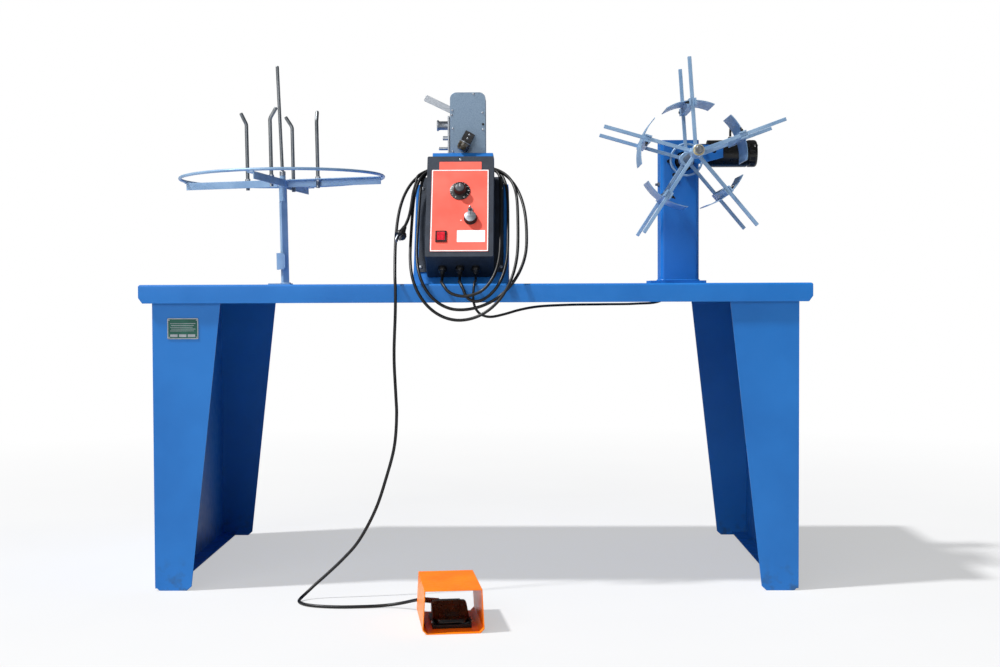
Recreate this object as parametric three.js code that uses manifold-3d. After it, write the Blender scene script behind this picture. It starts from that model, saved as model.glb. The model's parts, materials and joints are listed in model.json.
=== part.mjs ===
// Bench winding machine: a pay-off turntable, a measuring head over a control console, and a
// motor-driven coiling head, on a sheet-steel bench, with a guarded foot switch on a cord.
// Millimetres, +Z up. The layout is measured from the bench: X from its middle, Y from the front
// face of its top, Z from the floor. The exported group then moves the origin to the middle of
// the footprint.

import * as THREE from "three";
import { mergeVertices } from "three/addons/utils/BufferGeometryUtils.js";
import Module from "manifold-3d";

const wasm = await Module();
wasm.setup();

// ---------- driving dimensions ----------

const GAP = 0.3; // left between pieces that touch

const BENCH = {
  length: 1829, depth: 914, top: 838, sheet: 3, lip: 50.8, edge: 6, chamferX: 11, chamferZ: 15,
};
const LEG = {
  outerX: 879.5, frontY: 12, rearY: 902, height: 834.5, sheet: 3, footWidth: 99, taper: 0.1112,
  floorLip: 50, topLip: 40, nick: 12,
};
const PLATE = { left: -838, width: 85, bottom: 690, height: 57, thick: 1 };

const PAYOFF = {
  x: -588, y: 457, leanX: -1.05, leanY: 0.6, barSize: 19, barTurn: 29, barTop: 252.6,
  footLeft: 47, footRight: 18, footHalfDepth: 30, footTop: 5,
};
// The cable clip on the post: part of a ring, open towards the rear and right.
const CLIP = { outerR: 21, innerR: 18, from: 150, to: 285, bottom: 47, top: 97, x: -4, y: 3 };
const TURNTABLE = {
  bottom: 296, leg: 22, steel: 3, firstSpoke: 172, innerR: 13.3, outerR: 302, ringR: 304.5, ringRod: 4.5,
};
const HUB = {
  bottom: 253, top: 330, sleeveR: 12, bossR: 13, collarR: 9, boreR: 6.8, boreTop: 302, journalR: 6.35,
};
const PIN = { circleR: 110, rod: 5.5, bend: 490, tip: 523, lean: 20, holeR: 6.1, nutR: 8 };
const SPINDLE = { rod: 5, top: 662, lean: -1.4 };

const CONSOLE = { x: -42, width: 265, frontY: 112, ledgeY: 308, rearY: 500, top: 1220, sheet: 3, lean: 27,
  neck: 176, shoulder: 1125 };
const BOX = { width: 186, bottom: 19.6, top: 338.5, depth: 124.4, sheet: 2 };
const BACKPLATE = { width: 239, bottom: 36, top: 345, thick: 3 };
const PANEL = { width: 159, height: 259, bottom: 34.5, thick: 1.2 };
const DIAL = { x: 0, z: 224.5, skirtR: 28.5, knobR: 15.5, shaftR: 3, holeR: 5 };
const SELECTOR = { x: 30, z: 135.5, knobR: 17, holeR: 6 };
const TOGGLE = { x: 29, z: 164.5, holeR: 5 };
const ROCKER = { x: -50, z: 80.5, width: 31, height: 34, rim: 4 };
const GLAND = { xs: { mains_gland: -48, foot_gland: 0, motor_gland: 44 }, y: -62, holeR: 10, cordR: 4.6 };

const METER = { left: -80, right: 24, front: 330, depth: 68, top: 1399, corner: 19, sheet: 3, wireZ: 1306 };
const WHEELS = { x: -28, y: 365, width: 24, measureR: 36, pressureR: 25, nip: 6, axleR: 5 };
const LEVER = { x: -64, z: 1342, angle: 154.3, length: 99, width: 19, thick: 6, y: 341 };
const GUIDE = { outerR: 16, boreR: 11, left: -120 };

const COILER = {
  x: 613, z: 1201, rearY: 350, frontY: 120, arms: [94, 164, 237, 310, 20], armLength: 265, bar: 10,
  rearHubR: 21, frontHubR: 17, frontHubNear: 58, hoopR: 46, hoopRod: 3.5,
};
const SHOE = { drumR: 150.5, sheet: 2.5, halfAngle: 26.8, nearY: 162, farY: 308, barSize: 20, slack: 0.4 };
const COLUMN = {
  x: 600, y: 457, size: 114, wall: 6, corner: 12, top: 1264, base: 163, baseShift: 6.5, baseThick: 8.7,
};
const BRACKET = {
  y: 394, thick: 6.5, right: 727, bottom: 1192, top: 1249, holeX: 701, holeZ: 1231, holeR: 7,
};
const MOTOR = { y: 457, z: 1228, neckR: 30, canR: 40.5, neckEnd: 686, canEnd: 789, reliefX: 757 };
const SHAFT = { r: 10, clearance: 0.5, tipY: 36, innerY: 432 };

const FOOT = {
  x: -53, y: -364, turn: 7.5, width: 149, topWidth: 139, height: 106, length: 240, sheet: 2.5, chamfer: 10,
};

const CORD = { footR: 4.2, motorR: 3.5 };
// The loops hung round the control box: spread runs from -1 at the innermost to +1 at the outermost.
const COIL = {
  x: -40, z: 955, halfWidth: 147, above: 217, below: 178, growSide: 37, growTop: 6, thick: 6.5,
};
const DRAPE = { frontY: -34, bendZ: 850, slope: 0.872, round: 24 };
const CABLE_HOLE = { x: 600, y: 562, r: 16 };

// ---------- colours ----------

const finish = (color, roughness, metalness) =>
  new THREE.MeshStandardMaterial({ color, roughness, metalness });
const BLUE = finish(0x2f6bb8, 0.45, 0.1);
const SKY = finish(0x86a9cf, 0.5, 0.15);
const STEEL = finish(0x8b8c88, 0.35, 0.9);
const ZINC = finish(0xb9bcc0, 0.3, 0.9);
const HAMMERTONE = finish(0x7d97b0, 0.5, 0.3);
const BLACK = finish(0x17181a, 0.5, 0.1);
const CHARCOAL = finish(0x2a2f38, 0.7, 0.1);
const CORAL = finish(0xf9695a, 0.5, 0);
const RED = finish(0xc0202c, 0.3, 0);
const ORANGE = finish(0xff7a2e, 0.45, 0);
const GREEN = finish(0x1c5a48, 0.5, 0.1);
const RUBBER = finish(0x1b1b1b, 0.75, 0);

// ---------- solids ----------

const turn = THREE.MathUtils.degToRad;

function toSolid(geometry) {
  const bare = geometry.clone();
  bare.deleteAttribute("normal");
  bare.deleteAttribute("uv");
  const merged = mergeVertices(bare, 1e-4);
  const triVerts = new Uint32Array(merged.index.array);
  const vertProperties = merged.attributes.position.array;
  return new wasm.Manifold(new wasm.Mesh({ numProp: 3, vertProperties, triVerts }));
}

function toGeometry(solid) {
  const { vertProperties, triVerts, numProp } = solid.getMesh();
  const geometry = new THREE.BufferGeometry();
  const count = vertProperties.length / numProp;
  const positions = new Float32Array(count * 3);
  for (let i = 0; i < count; i++) {
    positions.set(vertProperties.subarray(i * numProp, i * numProp + 3), i * 3);
  }
  geometry.setAttribute("position", new THREE.BufferAttribute(positions, 3));
  geometry.setIndex(new THREE.BufferAttribute(triVerts, 1));
  return geometry;
}

const combine = (how) => (first, ...others) =>
  toGeometry(others.map(toSolid).reduce((whole, next) => whole[how](next), toSolid(first)));
const join = combine("add");
const cut = combine("subtract");
const common = combine("intersect");

function block(x0, x1, y0, y1, z0, z1) {
  const box = new THREE.BoxGeometry(x1 - x0, y1 - y0, z1 - z0);
  return box.translate((x0 + x1) / 2, (y0 + y1) / 2, (z0 + z1) / 2);
}

// A round bar between two points, with an optional second radius at its far end.
function rod(radius, from, to, sides = 16, endRadius = radius) {
  const start = new THREE.Vector3(...from);
  const along = new THREE.Vector3(...to).sub(start);
  const bar = new THREE.CylinderGeometry(endRadius, radius, along.length(), sides);
  bar.translate(0, along.length() / 2, 0);
  const up = new THREE.Vector3(0, 1, 0);
  bar.applyQuaternion(new THREE.Quaternion().setFromUnitVectors(up, along.normalize()));
  return bar.translate(start.x, start.y, start.z);
}

// A turned piece: its profile is a list of [radius, distance along the axis], axis along +Z.
function turned(profile, sides = 20) {
  const points = profile.map(([r, h]) => new THREE.Vector2(r, h));
  return new THREE.LatheGeometry(points, sides).rotateX(Math.PI / 2);
}

const outline = (points) => new THREE.Shape(points.map(([u, v]) => new THREE.Vector2(u, v)));

// A flat outline given thickness along one axis: its points are (y, z), (x, z) or (x, y).
function slab(axis, shape, low, high, curveSegments = 6) {
  const plate = new THREE.ExtrudeGeometry(shape, { depth: high - low, bevelEnabled: false, curveSegments });
  if (axis === "x") {
    const sideways = new THREE.Matrix4().makeBasis(
      new THREE.Vector3(0, 1, 0), new THREE.Vector3(0, 0, 1), new THREE.Vector3(1, 0, 0));
    return plate.applyMatrix4(sideways).translate(low, 0, 0);
  }
  if (axis === "y") return plate.rotateX(Math.PI / 2).translate(0, high, 0);
  return plate.translate(0, 0, low);
}

// A round bar swept along a smooth curve through the points.
function swept(points, radius, steps, sides = 8) {
  const section = new THREE.Shape();
  for (let i = 0; i < sides; i++) {
    const a = (2 * Math.PI * i) / sides;
    section[i ? "lineTo" : "moveTo"](radius * Math.cos(a), radius * Math.sin(a));
  }
  const curve = new THREE.CatmullRomCurve3(points.map((p) => new THREE.Vector3(...p)));
  return new THREE.ExtrudeGeometry(section, { steps, extrudePath: curve, bevelEnabled: false });
}

function roundedRect(x0, x1, y0, y1, r) {
  const shape = new THREE.Shape();
  shape.moveTo(x0 + r, y0);
  shape.lineTo(x1 - r, y0);
  shape.absarc(x1 - r, y0 + r, r, -Math.PI / 2, 0);
  shape.absarc(x1 - r, y1 - r, r, 0, Math.PI / 2);
  shape.absarc(x0 + r, y1 - r, r, Math.PI / 2, Math.PI);
  shape.absarc(x0 + r, y0 + r, r, Math.PI, 1.5 * Math.PI);
  return shape;
}

function piece(parent, name, geometry, material) {
  const mesh = new THREE.Mesh(geometry, material);
  mesh.name = name;
  parent.add(mesh);
  return mesh;
}

// ---------- bench ----------

const bench = new THREE.Group();

function panWithRoundedTop(low, high) {
  const { top, lip, edge, chamferX, chamferZ } = BENCH;
  const shape = new THREE.Shape();
  shape.moveTo(low + chamferX, top - lip);
  shape.lineTo(high - chamferX, top - lip);
  shape.lineTo(high, top - lip + chamferZ);
  shape.absarc(high - edge, top - edge, edge, 0, Math.PI / 2);
  shape.absarc(low + edge, top - edge, edge, Math.PI / 2, Math.PI);
  shape.lineTo(low, top - lip + chamferZ);
  return shape;
}

function addBenchTop() {
  const { length, depth, top, sheet, lip, edge } = BENCH;
  const half = length / 2;
  const acrossFront = slab("y", panWithRoundedTop(-half, half), 0, depth, 4);
  const side = roundedRect(0, depth, top - lip - 2 * edge, top, edge);
  const pan = common(acrossFront, slab("x", side, -half, half, 4));
  const hollow = block(-half + sheet, half - sheet, sheet, depth - sheet, top - 2 * lip, top - sheet);
  const { x, y, r } = CABLE_HOLE;
  piece(bench, "bench_top", cut(pan, hollow, rod(r, [x, y, top - 20], [x, y, top + 5], 16)), BLUE);
  const [boreR, flangeR, neckR] = [6, r + 5, r - GAP];
  const ring = [
    [boreR, -4.5], [flangeR, -4.5], [flangeR, -GAP - sheet], [neckR, -GAP - sheet], [neckR, GAP],
    [flangeR, GAP], [flangeR - 1, 2], [boreR, 2], [boreR, -4.5]];
  piece(bench, "cable_grommet", turned(ring, 16), RUBBER).position.set(x, y, top);
}

function addLeg(name, side) {
  const { outerX, frontY, rearY, height, sheet, footWidth, taper, floorLip, topLip, nick } = LEG;
  const inner = (z) => side * (outerX - footWidth - taper * z);
  const flange = outline([
    [side * (outerX - nick), 0], [side * outerX, nick], [side * outerX, height],
    [inner(height), height], [inner(nick), nick], [inner(0) + side * nick, 0]]);
  const [x0, x1] = [side * (outerX - sheet), side * outerX].sort((a, b) => a - b);
  const lipX = (width) => [side * (outerX - width), side * (outerX - sheet / 2)].sort((a, b) => a - b);
  const [f0, f1] = lipX(floorLip);
  const [t0, t1] = lipX(topLip);
  piece(bench, name, join(
    block(x0, x1, frontY + 1, rearY - 1, nick / 2, height),
    slab("y", flange, frontY, frontY + sheet),
    slab("y", flange, rearY - sheet, rearY),
    block(f0, f1, frontY + 1, rearY - 1, nick / 2, nick / 2 + sheet),
    block(t0, t1, frontY + 1, rearY - 1, height - sheet, height),
  ), BLUE);
}

function addDataPlate() {
  const { left, width, bottom, height, thick } = PLATE;
  const face = roundedRect(left, left + width, bottom, bottom + height, 3);
  piece(bench, "data_plate", slab("y", face, LEG.frontY - GAP - thick, LEG.frontY - GAP, 3), GREEN);
}

// ---------- pay-off turntable ----------

// Everything on the leaning post: its origin is where the post's axis meets the bench top.
const payoff = new THREE.Group();
payoff.position.set(PAYOFF.x, PAYOFF.y, BENCH.top);
payoff.rotation.set(turn(-PAYOFF.leanY), turn(PAYOFF.leanX), 0);
payoff.updateMatrix();
bench.add(payoff);

function addPost() {
  const { barSize, barTurn, barTop } = PAYOFF;
  const half = barSize / 2;
  const bar = block(-half, half, -half, half, 3, barTop).rotateZ(turn(barTurn));
  const journal = rod(HUB.journalR, [0, 0, barTop - 2], [0, 0, HUB.boreTop - 1], 20);
  const clip = new THREE.Shape();
  clip.absarc(0, 0, CLIP.outerR, turn(CLIP.from), turn(CLIP.to));
  clip.absarc(0, 0, CLIP.innerR, turn(CLIP.to), turn(CLIP.from), true);
  const collar = slab("z", clip, CLIP.bottom, CLIP.top, 10).translate(CLIP.x, CLIP.y, 0);
  const weld = block(-5, 4, CLIP.y - CLIP.outerR, -half + 2.5, CLIP.bottom + 5, CLIP.top - 5);
  const leaning = [bar, journal, collar, weld].map((g) => g.applyMatrix4(payoff.matrix));
  const { x, y, footLeft, footRight, footHalfDepth, footTop } = PAYOFF;
  const foot = block(
    x - footLeft, x + footRight, y - footHalfDepth, y + footHalfDepth, BENCH.top + GAP, BENCH.top + footTop);
  piece(bench, "payoff_post", join(foot, ...leaning), SKY);
}

function addHub() {
  const { bottom, top, sleeveR, bossR, collarR, boreR, boreTop } = HUB;
  const { bottom: low, leg } = TURNTABLE;
  piece(payoff, "hub_sleeve", turned([
    [0, boreTop], [boreR, boreTop], [boreR, bottom], [sleeveR, bottom], [sleeveR, low], [bossR, low],
    [bossR, low + leg], [collarR, low + leg + 1], [collarR, top], [0, top]], 20), SKY);
}

function addSpokesAndPins() {
  const { bottom, leg, steel, firstSpoke, innerR, outerR } = TURNTABLE;
  const half = leg / 2;
  const under = leg - steel;
  const angleIron = outline([
    [half - steel, 0], [half, 0], [half, leg], [-half, leg], [-half, under], [half - steel, under]]);
  const tipAzimuth = [227, 0, 90, 180]; // the way each pin's bent tip points
  for (let i = 0; i < 4; i++) {
    const azimuth = firstSpoke + 90 * i;
    const hole = rod(PIN.holeR, [PIN.circleR, 0, under - 2], [PIN.circleR, 0, leg + 2], 16);
    const spoke = cut(slab("x", angleIron, innerR, outerR), hole);
    const mesh = piece(payoff, `turntable_spoke_${i + 1}`, spoke, SKY);
    mesh.rotation.z = turn(azimuth);
    mesh.position.z = bottom;

    const towards = turn(tipAzimuth[i]);
    const [dx, dy] = [Math.cos(towards), Math.sin(towards)];
    const { bend, tip, lean, rod: r, nutR } = PIN;
    const leanAt = (h) => lean * Math.max(0, (h - bend) / (tip - bend));
    const heights = [bottom - 6, bottom + 60, bend - 60, bend - 12, bend - 3, bend + 4, bend + 14, tip];
    const bar = swept(heights.map((h) => [dx * leanAt(h), dy * leanAt(h), h]), r, 16);
    const nut = rod(nutR, [0, 0, bottom + leg + GAP], [0, 0, bottom + leg + 5.7], 6);
    const lockNut = rod(nutR - 1, [0, 0, bottom + under - 5], [0, 0, bottom + under - GAP], 6);
    const pin = piece(payoff, `upright_pin_${i + 1}`, join(bar, nut, lockNut), STEEL);
    pin.position.set(PIN.circleR * Math.cos(turn(azimuth)), PIN.circleR * Math.sin(turn(azimuth)), 0);
  }
}

function addRingAndSpindle() {
  const { bottom, leg, ringR, ringRod } = TURNTABLE;
  const ring = new THREE.TorusGeometry(ringR, ringRod, 6, 48);
  piece(payoff, "turntable_ring", ring, SKY).position.z = bottom + leg + ringRod + GAP;
  const length = SPINDLE.top - HUB.top - GAP;
  const bar = rod(SPINDLE.rod, [0, 0, 0], [length * Math.sin(turn(SPINDLE.lean)), 0, length], 12);
  piece(payoff, "spool_spindle", bar, STEEL).position.z = HUB.top + GAP;
}

// ---------- console ----------

// The sloping front of the console: local X across, local Z up the slope, local -Y out of it.
const slope = new THREE.Group();
slope.position.set(CONSOLE.x, CONSOLE.frontY, BENCH.top);
slope.rotation.x = turn(-CONSOLE.lean);
bench.add(slope);
const faceY = -BOX.depth;

function addPedestal() {
  const { x, width, frontY, ledgeY, rearY, top, sheet, neck, shoulder } = CONSOLE;
  const low = BENCH.top + GAP;
  const profile = (inset) => {
    const side = inset / Math.cos(turn(CONSOLE.lean));
    const lift = inset ? -20 : 0;
    const slant = Math.tan(turn(CONSOLE.lean));
    return outline([
      [frontY + side + lift * slant, low + lift], [rearY - inset, low + lift], [rearY - inset, top - inset],
      [ledgeY + side - inset * slant, top - inset]]);
  };
  const skin = slab("x", profile(0), x - width / 2, x + width / 2);
  const hollow = slab("x", profile(sheet), x - width / 2 + sheet, x + width / 2 - sheet);
  const besideNeck = (side, inset) => {
    const [inner, outer] = [side * (neck / 2 - inset), side * (width / 2 + 5)];
    const [left, right] = [x + Math.min(inner, outer), x + Math.max(inner, outer)];
    return block(left, right, 0, rearY + 20, shoulder - inset, top + 20);
  };
  const outside = cut(skin, besideNeck(-1, 0), besideNeck(1, 0));
  const inside = cut(hollow, besideNeck(-1, sheet), besideNeck(1, sheet));
  piece(bench, "console_pedestal", cut(outside, inside), BLUE);
}

function faceHoles() {
  const through = (x, z, r) => rod(r, [x, faceY - 6, z], [x, faceY + 6, z], 16);
  const w = ROCKER.width / 2 - 3;
  const h = ROCKER.height / 2 - 3;
  return [
    through(DIAL.x, DIAL.z, DIAL.holeR), through(SELECTOR.x, SELECTOR.z, SELECTOR.holeR),
    through(TOGGLE.x, TOGGLE.z, TOGGLE.holeR),
    block(ROCKER.x - w, ROCKER.x + w, faceY - 6, faceY + 6, ROCKER.z - h, ROCKER.z + h)];
}

function addEnclosure() {
  const { width, bottom, top, depth, sheet } = BOX;
  const back = -BACKPLATE.thick - 2 * GAP;
  const half = width / 2;
  const shell = slab("y", roundedRect(-half, half, bottom, top, 4), -depth, back, 3);
  const hollow = block(-half + sheet, half - sheet, -depth + sheet, 10, bottom + sheet, top - sheet);
  const glandHoles = Object.values(GLAND.xs).map((x) =>
    rod(GLAND.holeR, [x, GLAND.y, bottom - 5], [x, GLAND.y, bottom + 5], 16));
  piece(slope, "enclosure_cover", cut(shell, hollow, ...glandHoles, ...faceHoles()), CHARCOAL);

  const plate = roundedRect(-BACKPLATE.width / 2, BACKPLATE.width / 2, BACKPLATE.bottom, BACKPLATE.top, 5);
  piece(slope, "enclosure_back", slab("y", plate, -BACKPLATE.thick - GAP, -GAP, 3), CHARCOAL);

  const { width: across, bottom: low, height, thick } = PANEL;
  const label = roundedRect(-across / 2, across / 2, low, low + height, 2);
  const panel = slab("y", label, faceY - GAP - thick, faceY - GAP, 2);
  piece(slope, "face_panel", cut(panel, ...faceHoles()), CORAL);

  const board = block(-65, 65, -22, -20, 60, 250);
  const heatSink = block(-55, 55, -62, -21, 150, 235);
  const corners = [-55, 55].flatMap((x) => [70, 240].map((z) => [x, z]));
  const spacers = corners.map(([x, z]) => rod(4, [x, -21, z], [x, back + GAP, z], 8));
  piece(slope, "drive_board", join(board, heatSink, ...spacers), GREEN);
}

function addControls() {
  const surface = faceY - 2 * GAP - PANEL.thick;
  const outwards = (name, profile, x, z, material, sides = 24) => {
    const mesh = piece(slope, name, turned(profile, sides), material);
    mesh.rotation.x = Math.PI / 2;
    mesh.position.set(x, surface, z);
  };
  const { skirtR, knobR, shaftR } = DIAL;
  outwards("speed_dial", [
    [0, -18], [shaftR, -18], [shaftR, 0], [skirtR, 0], [skirtR, 1.5], [knobR + 2, 5],
    [knobR, 22.5], [0, 22.5]], DIAL.x, DIAL.z, BLACK);
  const r = SELECTOR.knobR;
  outwards("selector_knob", [
    [0, -16], [shaftR, -16], [shaftR, 0], [r + 1, 0], [r + 1, 3], [r, 5], [r, 17], [0, 17]],
    SELECTOR.x, SELECTOR.z, ZINC, 20);
  outwards("toggle_lever", [[0, -8], [2.2, -8], [2.2, 4], [3.2, 17], [2.4, 19], [0, 19.8]],
    TOGGLE.x, TOGGLE.z, ZINC, 12);

  const { x, z, width, height, rim } = ROCKER;
  const [w, h] = [width / 2, height / 2];
  const frame = block(x - w, x + w, surface - 3.5, surface, z - h, z + h);
  const opening = block(x - w + rim, x + w - rim, surface - 10, surface + 10, z - h + rim, z + h - rim);
  piece(slope, "rocker_bezel", cut(frame, opening), BLACK);
  const [y0, y1] = [surface - 6.5, surface + 3];
  const [z0, z1] = [z - h + rim + 1, z + h - rim - 1];
  const key = outline([[y1, z0], [y0 + 3.5, z0], [y0 + 2, z], [y0, z1], [y1, z1]]);
  piece(slope, "rocker_key", slab("x", key, x - w + rim + 0.5, x + w - rim - 0.5), RED);

  for (const [name, gx] of Object.entries(GLAND.xs)) {
    const { y, holeR, cordR } = GLAND;
    const mesh = piece(slope, name, turned([
      [cordR, -6], [holeR - 0.5, -6], [holeR - 0.5, GAP], [12, GAP], [12, 9], [9, 14], [7, 24], [cordR, 24],
      [cordR, -6]], 12), BLACK);
    mesh.rotation.x = Math.PI;
    mesh.position.set(gx, y, BOX.bottom);
  }
}

// ---------- measuring head ----------

function meterOutline() {
  const { left, right, top, corner } = METER;
  const low = CONSOLE.top + GAP;
  const shape = new THREE.Shape();
  shape.moveTo(left, low);
  shape.lineTo(right, low);
  shape.absarc(right - corner, top - corner, corner, 0, Math.PI / 2);
  shape.absarc(left + corner, top - corner, corner, Math.PI / 2, Math.PI);
  return shape;
}

function addMeterFrame() {
  const { left, front, depth, sheet, wireZ } = METER;
  const rear = front + depth;
  const low = CONSOLE.top + GAP;
  piece(bench, "meter_front_plate", slab("y", meterOutline(), front, front + sheet), HAMMERTONE);
  const back = slab("y", meterOutline(), rear - sheet, rear);
  const shelf = block(left + 2, METER.right - 2, front + sheet + GAP, rear - 1, low, low + sheet);
  piece(bench, "meter_rear_plate", join(back, shelf), HAMMERTONE);

  const middle = (front + rear) / 2;
  const [x0, x1] = [left - 7, left - 2];
  const plate = block(x0, x1, front + 1, rear - 1, low, 1331);
  const wireHole = rod(GUIDE.boreR, [x0 - 5, middle, wireZ], [x1 + 5, middle, wireZ], 20);
  const bolt = rod(6.5, [x0 + 1, middle - 18, 1267], [-102, middle - 18, 1267], 6);
  const stud = rod(4.7, [x0 + 1, middle - 12, 1237], [-114, middle - 12, 1237], 12);
  piece(bench, "meter_end_plate", join(cut(plate, wireHole), bolt, stud), ZINC);
  const { outerR, boreR } = GUIDE;
  const length = x0 - GAP - GUIDE.left;
  const tube = turned([
    [boreR + 2, 0], [outerR, 0], [outerR, 5], [outerR - 3, 7], [outerR - 3, length], [boreR, length],
    [boreR, 4], [boreR + 2, 0]], 16);
  piece(bench, "inlet_guide", tube.rotateY(Math.PI / 2).translate(GUIDE.left, middle, wireZ), ZINC);
}

function addMeterWheels() {
  const { x, y, width, measureR, pressureR, nip, axleR } = WHEELS;
  const inner = METER.front + METER.sheet + 0.6;
  const outer = METER.front + METER.depth - METER.sheet - 0.6;
  const wheel = (name, radius, z, near, material) => {
    const rim = rod(radius, [x, y - width / 2, z], [x, y + width / 2, z], 32);
    const axle = rod(axleR, [x, near, z], [x, outer, z], 12);
    piece(bench, name, join(rim, axle), material);
  };
  wheel("measuring_wheel", measureR, METER.wireZ - nip / 2 - measureR, inner, ZINC);
  const besideLever = LEVER.y + LEVER.thick / 2 + 0.5;
  wheel("pressure_wheel", pressureR, METER.wireZ + nip / 2 + pressureR, besideLever, BLACK);
}

function addReleaseLever() {
  const { x, z, angle, length, width, thick, y } = LEVER;
  const [y0, y1] = [y - thick / 2, y + thick / 2];
  const wheelZ = METER.wireZ + WHEELS.nip / 2 + WHEELS.pressureR;
  const reach = Math.hypot(WHEELS.x - x, wheelZ - z);
  const bar = slab("y", roundedRect(-width / 2, length, -width / 2, width / 2, 3), y0, y1, 3);
  bar.rotateY(-turn(angle)).translate(x, 0, z);
  const arm = slab("y", roundedRect(-8, reach + 8, -8, 8, 7.5), y0, y1, 4);
  arm.rotateY(-Math.atan2(wheelZ - z, WHEELS.x - x)).translate(x, 0, z);
  piece(bench, "release_lever", join(bar, arm), ZINC);
}

// The wheel's pick-up: a round socket body on the front plate, with its plug turned up to the right.
function addWheelSensor() {
  const tilt = 62;
  const [y, reach] = [METER.front - 19, 19];
  const body = turned([[0, -17], [14, -15], [18, -6], [18, 8], [0, 8]], 20);
  const washer = turned([[0, 8], [19, 8], [19, 10], [0, 10]], 24);
  const grip = block(-15, 15, -13, 13, 9.5, 42);
  const head = join(body, washer, grip).rotateY(turn(90 - tilt)).translate(-39, y, 1242);
  const seat = rod(13, [-39, y, 1242], [-39, y + reach - GAP, 1242], 16);
  piece(bench, "wheel_sensor", join(head, seat), BLACK);
}

// ---------- coiling head ----------

const coiler = new THREE.Group();
coiler.position.set(COILER.x, 0, COILER.z);
bench.add(coiler);

function addColumn() {
  const { x, y, size, wall, corner, top, base, baseThick, baseShift } = COLUMN;
  const half = size / 2;
  const low = BENCH.top + GAP;
  const square = (inset, r) =>
    roundedRect(x - half + inset, x + half - inset, y - half + inset, y + half - inset, r);
  const tube = cut(
    slab("z", square(0, corner), low + 1, top, 4),
    slab("z", square(wall, corner - wall), low - 1, top - wall, 3));
  const middle = x - baseShift;
  const foot = block(middle - base / 2, middle + base / 2, y - base / 2, y + base / 2, low, low + baseThick);
  const clear = half - wall;
  const inside = block(x - clear, x + clear, y - clear, y + clear, low - 1, low + baseThick + 1);

  const { y: frontY, thick, right, bottom, top: upper, holeX, holeZ, holeR } = BRACKET;
  const [left, bend, nose] = [640, 655, 1211];
  const plate = outline([[bend, bottom], [right, nose], [right, upper], [left, upper], [left, bottom]]);
  const bracket = slab("y", plate, frontY, frontY + thick);
  const bracketHole = rod(holeR, [holeX, frontY - 4, holeZ], [holeX, frontY + 11, holeZ], 16);
  const front = y - half;
  const shaftHole = rod(29, [COILER.x, front - 10, COILER.z], [COILER.x, front + 10, COILER.z], 24);
  const side = x + half;
  const neckHole = rod(MOTOR.neckR + 3, [side - 10, MOTOR.y, MOTOR.z], [side + 10, MOTOR.y, MOTOR.z], 24);
  const plates = cut(join(tube, cut(foot, inside), bracket), shaftHole, neckHole, bracketHole);
  piece(bench, "column", plates, BLUE);
}

function addGearmotor() {
  const { y, z, neckR, canR, neckEnd, canEnd, reliefX } = MOTOR;
  const frontY = COLUMN.y - COLUMN.size / 2;
  const body = block(552, 648, 420, 500, 1168, 1256);
  const neck = rod(neckR, [640, y, z], [neckEnd, y, z], 24);
  const nose = rod(25, [COILER.x, 430, COILER.z], [COILER.x, frontY - 14, COILER.z], 24);
  const socketR = SHAFT.r + SHAFT.clearance;
  const socket = rod(socketR, [COILER.x, SHAFT.innerY + 3, COILER.z], [COILER.x, 350, COILER.z], 20);
  piece(bench, "gearbox", cut(join(body, neck, nose), socket), BLACK);
  piece(bench, "motor_can", rod(canR, [neckEnd + GAP, y, z], [canEnd, y, z], 24), BLACK);
  const cap = turned([
    [0, 0], [canR, 0], [canR, 14], [canR - 2, 15], [canR - 2, 20], [canR, 21], [canR, 40], [canR - 4, 45],
    [0, 45]], 24);
  piece(bench, "motor_end_cap", cap.rotateY(Math.PI / 2).translate(canEnd + GAP, y, z), BLACK);
  const relief = rod(7, [reliefX, y, z + canR - 1], [reliefX, y, z + canR + 10], 12, 5.5);
  const saddle = rod(canR + GAP, [reliefX - 17, y, z], [reliefX + 18, y, z], 32);
  piece(bench, "motor_strain_relief", cut(relief, saddle), RUBBER);
}

// Five square arms welded to a hub that slips over the shaft.
function spider(hubR, hubNear, hubFar, y) {
  const { arms, armLength, bar } = COILER;
  const half = bar / 2;
  const arm = () => block(hubR - 4, armLength, y - half, y + half, -half, half);
  const spokes = arms.map((a) => arm().rotateY(-turn(a)));
  const hub = rod(hubR, [0, hubNear, 0], [0, hubFar, 0], 24);
  const bore = rod(SHAFT.r + SHAFT.clearance, [0, hubNear - 5, 0], [0, hubFar + 5, 0], 20);
  return [join(hub, ...spokes), bore];
}

function addSpiders() {
  const { rearY, frontY, rearHubR, frontHubR, frontHubNear: near, hoopR, hoopRod } = COILER;
  const [rear, rearBore] = spider(rearHubR, rearY - 12, rearY + 20, rearY);
  const hoop = new THREE.TorusGeometry(hoopR, hoopRod, 6, 24).rotateX(Math.PI / 2).translate(0, rearY, 0);
  piece(coiler, "rear_spider", cut(join(rear, hoop), rearBore), SKY);
  const [front, frontBore] = spider(frontHubR, near, frontY + 14, frontY);
  piece(coiler, "front_spider", cut(front, frontBore), SKY);
  piece(coiler, "drive_shaft", rod(SHAFT.r, [0, SHAFT.tipY, 0], [0, SHAFT.innerY, 0], 20), STEEL);
  const washer = rod(15.5, [0, near - 4, 0], [0, near - GAP, 0], 24);
  const hexagon = rod(13, [0, near - 16, 0], [0, near - 3, 0], 6);
  const thread = rod(SHAFT.r + SHAFT.clearance, [0, near - 28, 0], [0, near + 12, 0], 20);
  piece(coiler, "hand_nut", cut(join(washer, hexagon), thread), ZINC);
}

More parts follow.
